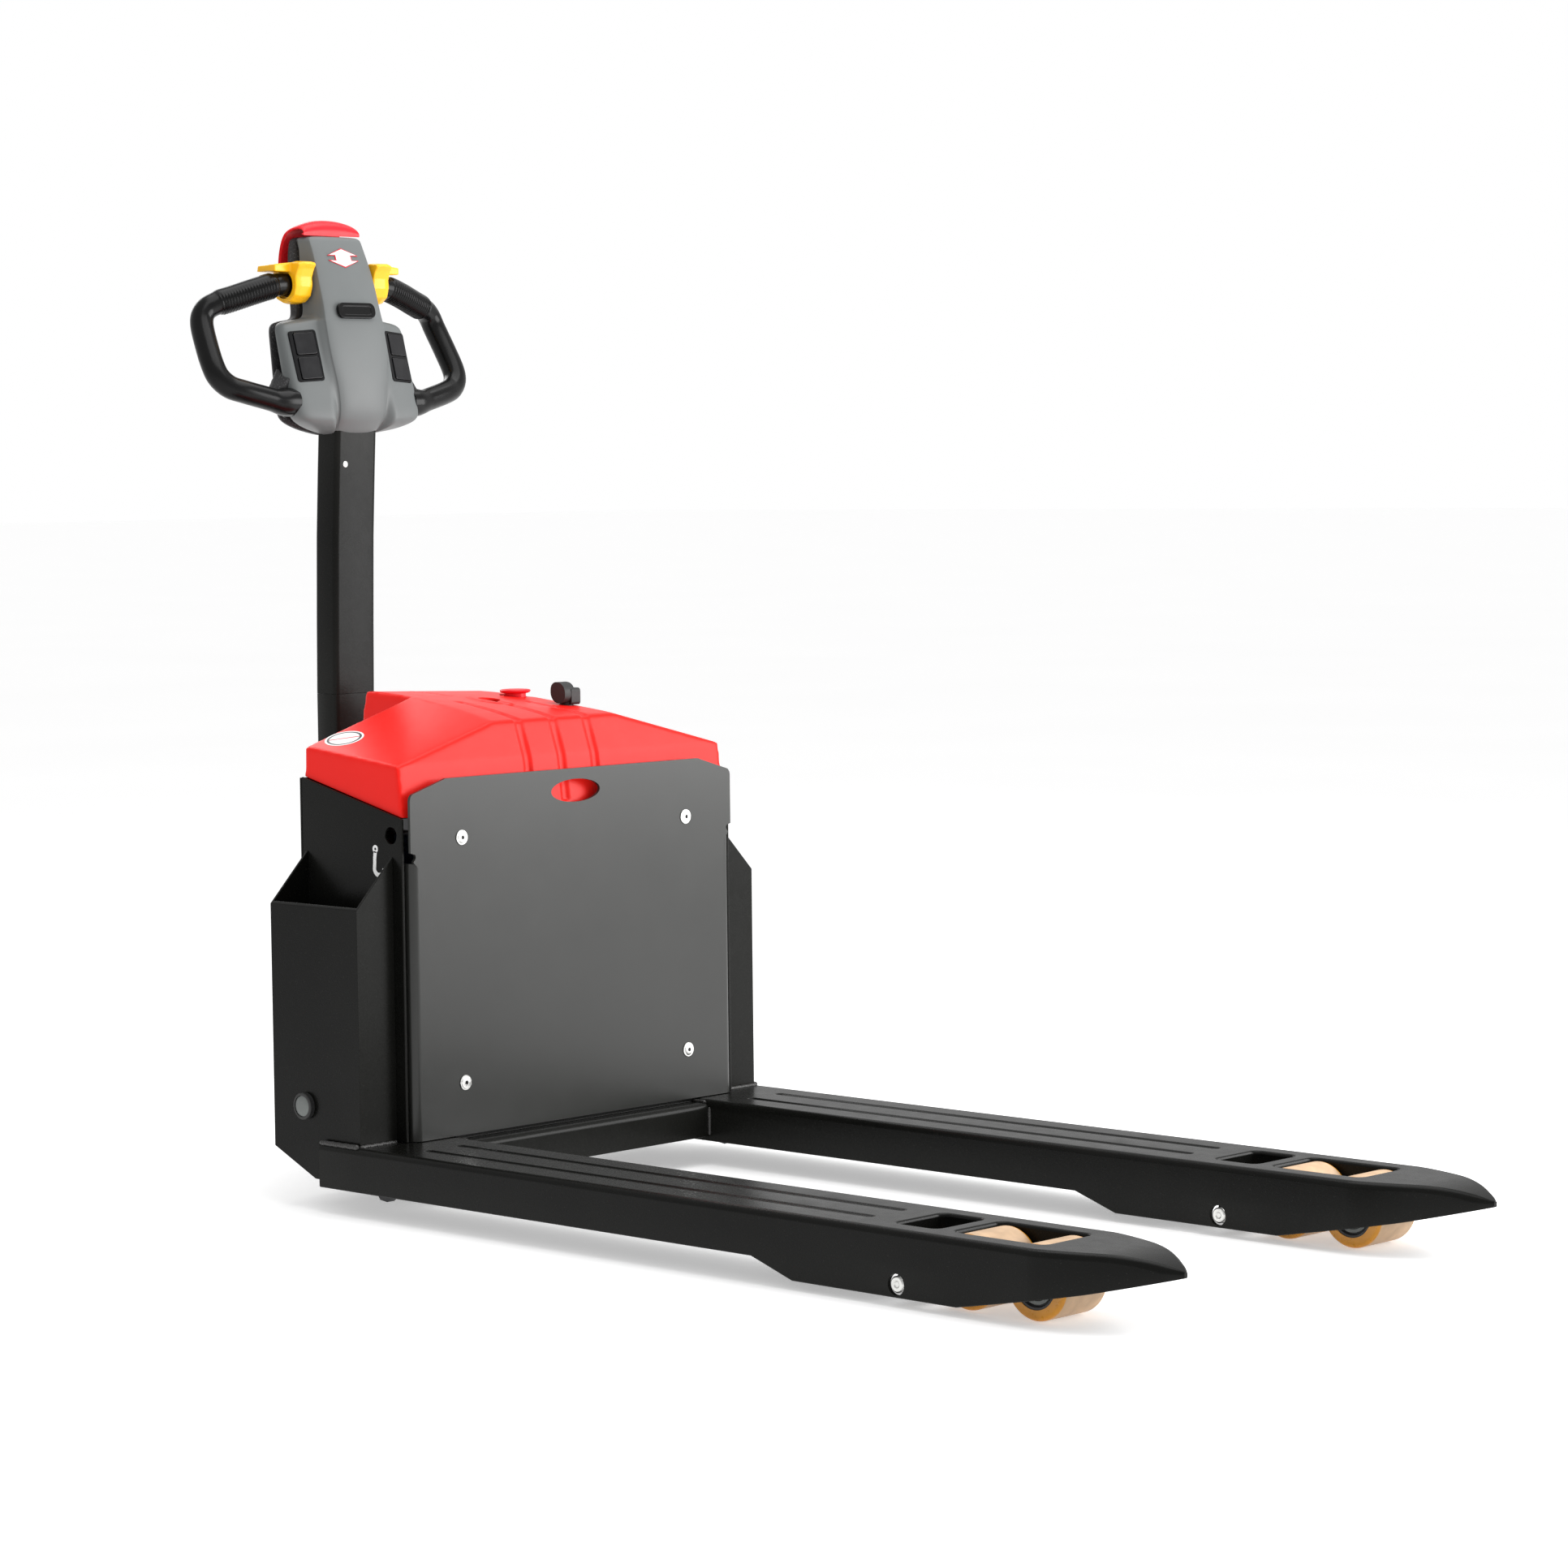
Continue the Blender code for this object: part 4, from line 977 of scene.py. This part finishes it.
def paced(path):
    """Points along a path with their distances, close together on the ribbed grip."""
    points, marks, travelled = [path[0]], [0.0], 0.0
    for first, second in zip(path, path[1:]):
        length = (second - first).length
        pace = RIB_PITCH / 6 if GRIP_START - 4 < travelled < GRIP_END + 8 else 2.4
        while marks[-1] + pace < travelled + length:
            marks.append(marks[-1] + pace)
            points.append(first.lerp(second, max(0.0, (marks[-1] - travelled) / length)))
        travelled += length
    return points + [path[-1]], marks + [travelled]


def build_loops():
    below = Vector((0.55, 0, -0.84))
    for name, side in SIDES:
        path, marks = paced(smooth_path([(x, side * y, z) for x, y, z in LOOP], 40))

        def radius(index, outward, marks=marks):
            along = marks[index]
            on_grip = step_up(along, GRIP_START, GRIP_START + 6)
            on_grip *= 1 - step_up(along, GRIP_END, GRIP_END + 10)
            facing = step_up(outward.dot(below), -0.15, 0.45)
            ribs = 0.8 * facing * on_grip * sin(2 * pi * along / RIB_PITCH)
            flare = 3.5 * step_up(along, marks[-1] - 34, marks[-1] - 10)
            return 14.6 + 1.7 * on_grip + ribs + flare

        piece(f"loop_{name}", tube(path, radius, 32), "grip_black", "tiller",
              (f"handle_loop_{name}",), 60)
        gusset = [(-398, side * 100, 992), (-428, side * 99, 1004), (-436, side * 96, 950),
                  (-412, side * 98, 938), (-408, side * 128, 968), (-420, side * 124, 972)]
        brace = piece(f"loop_foot_{name}", hull(gusset), "shell_black", "tiller")
        mould(brace, 1.6, 6)


PADDLE = ((-452, 1130), (-440, 1135), (-420, 1138), (-405, 1137), (-402.5, 1134), (-407, 1128),
          (-411, 1118), (-410.5, 1106), (-414, 1094), (-424, 1086), (-438, 1084), (-452, 1090),
          (-460, 1104), (-459, 1120))


def build_throttle():
    """Yellow thumb wings either side of the neck, one body on the same axle."""
    axle_x, axle_z = -436.0, 1108.0
    for name, side in SIDES:
        centre = (axle_x, 0, axle_z)
        sections = []
        for y, scale in ((51, 0.97), (58, 1.0), (70, 1.0), (78, 0.93)):
            sections.append([(axle_x + (x - axle_x) * scale, side * y, axle_z + (z - axle_z) * scale)
                             for x, z in PADDLE])
        made = piece(f"throttle_wing_{name}", loft(sections), "throttle_yellow",
                     "throttle", (f"thumb_throttle_{name}",))
        wing = []
        for y, top, thick in ((53, 1137.5, 14), (80, 1136.5, 11.5), (104, 1134, 9.5)):
            wing += [(-422, side * y, top - 0.5), (-422, side * y, top - thick), (-455, side * y, top - 2),
                     (-457, side * y, top - thick)]
        carve(made, hull(wing), "UNION")
        mould(made, 1.0, 9)
        carve(made, disc(centre, "Y", *sorted((side * 40, side * 74)), 14.9, 48), angle=50)
        carve(made, disc(centre, "Y", *sorted((side * 73, side * 130)), 17.2, 48), angle=50)


def build_cap():
    """Red safety cap: a crowned strip that wraps over the top and the rear."""
    profile = ((-432.5, 1171.5), (-431.5, 1177), (-434, 1183.5), (-441, 1188), (-450, 1188.2),
               (-460, 1185.5), (-470, 1179.5), (-478, 1170), (-483, 1158), (-486.3, 1142),
               (-487, 1128), (-486.5, 1120))
    middle = Vector((-450, 1150))
    sections = []
    stations = [(20, 0.0), (36, 0.01), (43, 0.03), (46, 0.06), (46.5, 0.10)]
    for y, shrink in mirror(stations) + [(0, 0.0)] + stations:
        ring = []
        for x, z in profile:
            point = Vector((x, z)).lerp(middle, shrink if z < 1171 else 0.0)
            arch = 1.25 - (0.45 + 2.5 * shrink) * (abs(y) / 46.5) ** 2.2
            ring.append((point.x, y, 1171.5 + (point.y - 1171.5) * (arch if z > 1171.5 else 1.0)))
        sections.append(ring)
    mesh = bmesh.new()
    grid = [[mesh.verts.new(point) for point in section] for section in sections]
    for first, second in zip(grid, grid[1:]):
        for index in range(len(profile) - 1):
            mesh.faces.new((first[index], second[index], second[index + 1], first[index + 1]))
    made = piece("cap_skin", mesh, "cap_red", "safety_cap", ("belly_button",), 180)
    refine(made, 2)
    thick = made.modifiers.new("thick", "SOLIDIFY")
    thick.thickness = 3.4 * MM
    thick.offset = -1.0
    apply_changes(made, 50)


# ------------------------------------------------------------------ stage
CAMERA_AT = (3.49456, -3.68823, 0.87378)
CAMERA_AZIMUTH, CAMERA_ELEVATION, CAMERA_ROLL = 43.317, 4.1605, -0.639
CAMERA_LENS = 100.44


def build_camera():
    azimuth, elevation = radians(CAMERA_AZIMUTH), radians(CAMERA_ELEVATION)
    roll = radians(CAMERA_ROLL)
    back = Vector((sin(azimuth) * cos(elevation), -cos(azimuth) * cos(elevation), sin(elevation)))
    right = Vector((cos(azimuth), sin(azimuth), 0))
    up = back.cross(right)
    across = cos(roll) * right + sin(roll) * up
    above = -sin(roll) * right + cos(roll) * up
    lens = bpy.data.cameras.new("camera")
    lens.lens = CAMERA_LENS
    lens.sensor_width = 36.0
    made = add_object("camera", lens)
    turn = Matrix((across, above, back)).transposed().to_4x4()
    made.matrix_world = Matrix.Translation(CAMERA_AT) @ turn
    SCENE.camera = made


def area_light(name, place, target, width, height, power):
    data = bpy.data.lights.new(name, "AREA")
    data.shape = "RECTANGLE"
    data.size, data.size_y = width, height
    data.energy = power
    made = add_object(name, data)
    made.location = place
    made.rotation_euler = (Vector(target) - Vector(place)).to_track_quat("-Z", "Y").to_euler()


def white_to_camera(tree, soft):
    """Let the camera see plain white where light rays see the soft studio."""
    white = tree.nodes.new(soft.bl_idname)
    mix = tree.nodes.new("ShaderNodeMixShader")
    rays = tree.nodes.new("ShaderNodeLightPath")
    white.inputs["Color"].default_value = (1, 1, 1, 1)
    tree.links.new(rays.outputs["Is Camera Ray"], mix.inputs["Fac"])
    tree.links.new(soft.outputs[0], mix.inputs[1])
    tree.links.new(white.outputs[0], mix.inputs[2])
    tree.links.new(mix.outputs[0], tree.nodes["World Output"].inputs["Surface"])


def build_stage():
    SCENE.view_settings.view_transform = "Standard"
    world = bpy.data.worlds.new("studio")
    world.use_nodes = True
    soft = world.node_tree.nodes["Background"]
    soft.inputs["Color"].default_value = (1, 1, 1, 1)
    soft.inputs["Strength"].default_value = 0.72
    white_to_camera(world.node_tree, soft)
    SCENE.world = world
    look("floor_pale", (0.80, 0.80, 0.80), 0.8, relief=0.01, grain=40, mottle=0.01, patch=1.0,
         shine=0.1)
    shader = LOOKS["floor_pale"].node_tree.nodes["Principled BSDF"]
    shader.inputs["Emission Color"].default_value = (1, 1, 1, 1)
    shader.inputs["Emission Strength"].default_value = 0.40
    mesh = bmesh.new()
    bmesh.ops.create_grid(mesh, x_segments=1, y_segments=1, size=60)
    data = bpy.data.meshes.new("floor")
    mesh.to_mesh(data)
    mesh.free()
    floor = add_object("floor", data)
    floor.location.z = CAD_BOX[0].z - 0.0005
    data.materials.append(LOOKS["floor_pale"])
    area_light("top_light", (0.2, 0.2, 3.0), (0.1, 0, 0.3), 3.0, 2.4, 60)
    area_light("key_light", (1.45, 1.55, 1.08), (-0.33, 0, 0.42), 1.8, 1.5, 62)
    area_light("rear_light", (-3.0, 0.8, 2.2), (-0.5, 0, 0.6), 1.6, 1.4, 18)


make_looks()
build_camera()
dress_nodes()
for fork_name, fork_side in SIDES:
    build_fork(fork_name, fork_side)
build_welds()
build_rollers()
build_plate()
build_bolts()
build_side_details()
build_hook_marks()
build_cover()
build_cover_marks()
build_controls()
build_stem()
build_head()
build_keys()
build_arrow_mark()
build_loops()
build_throttle()
build_cap()
build_stage()
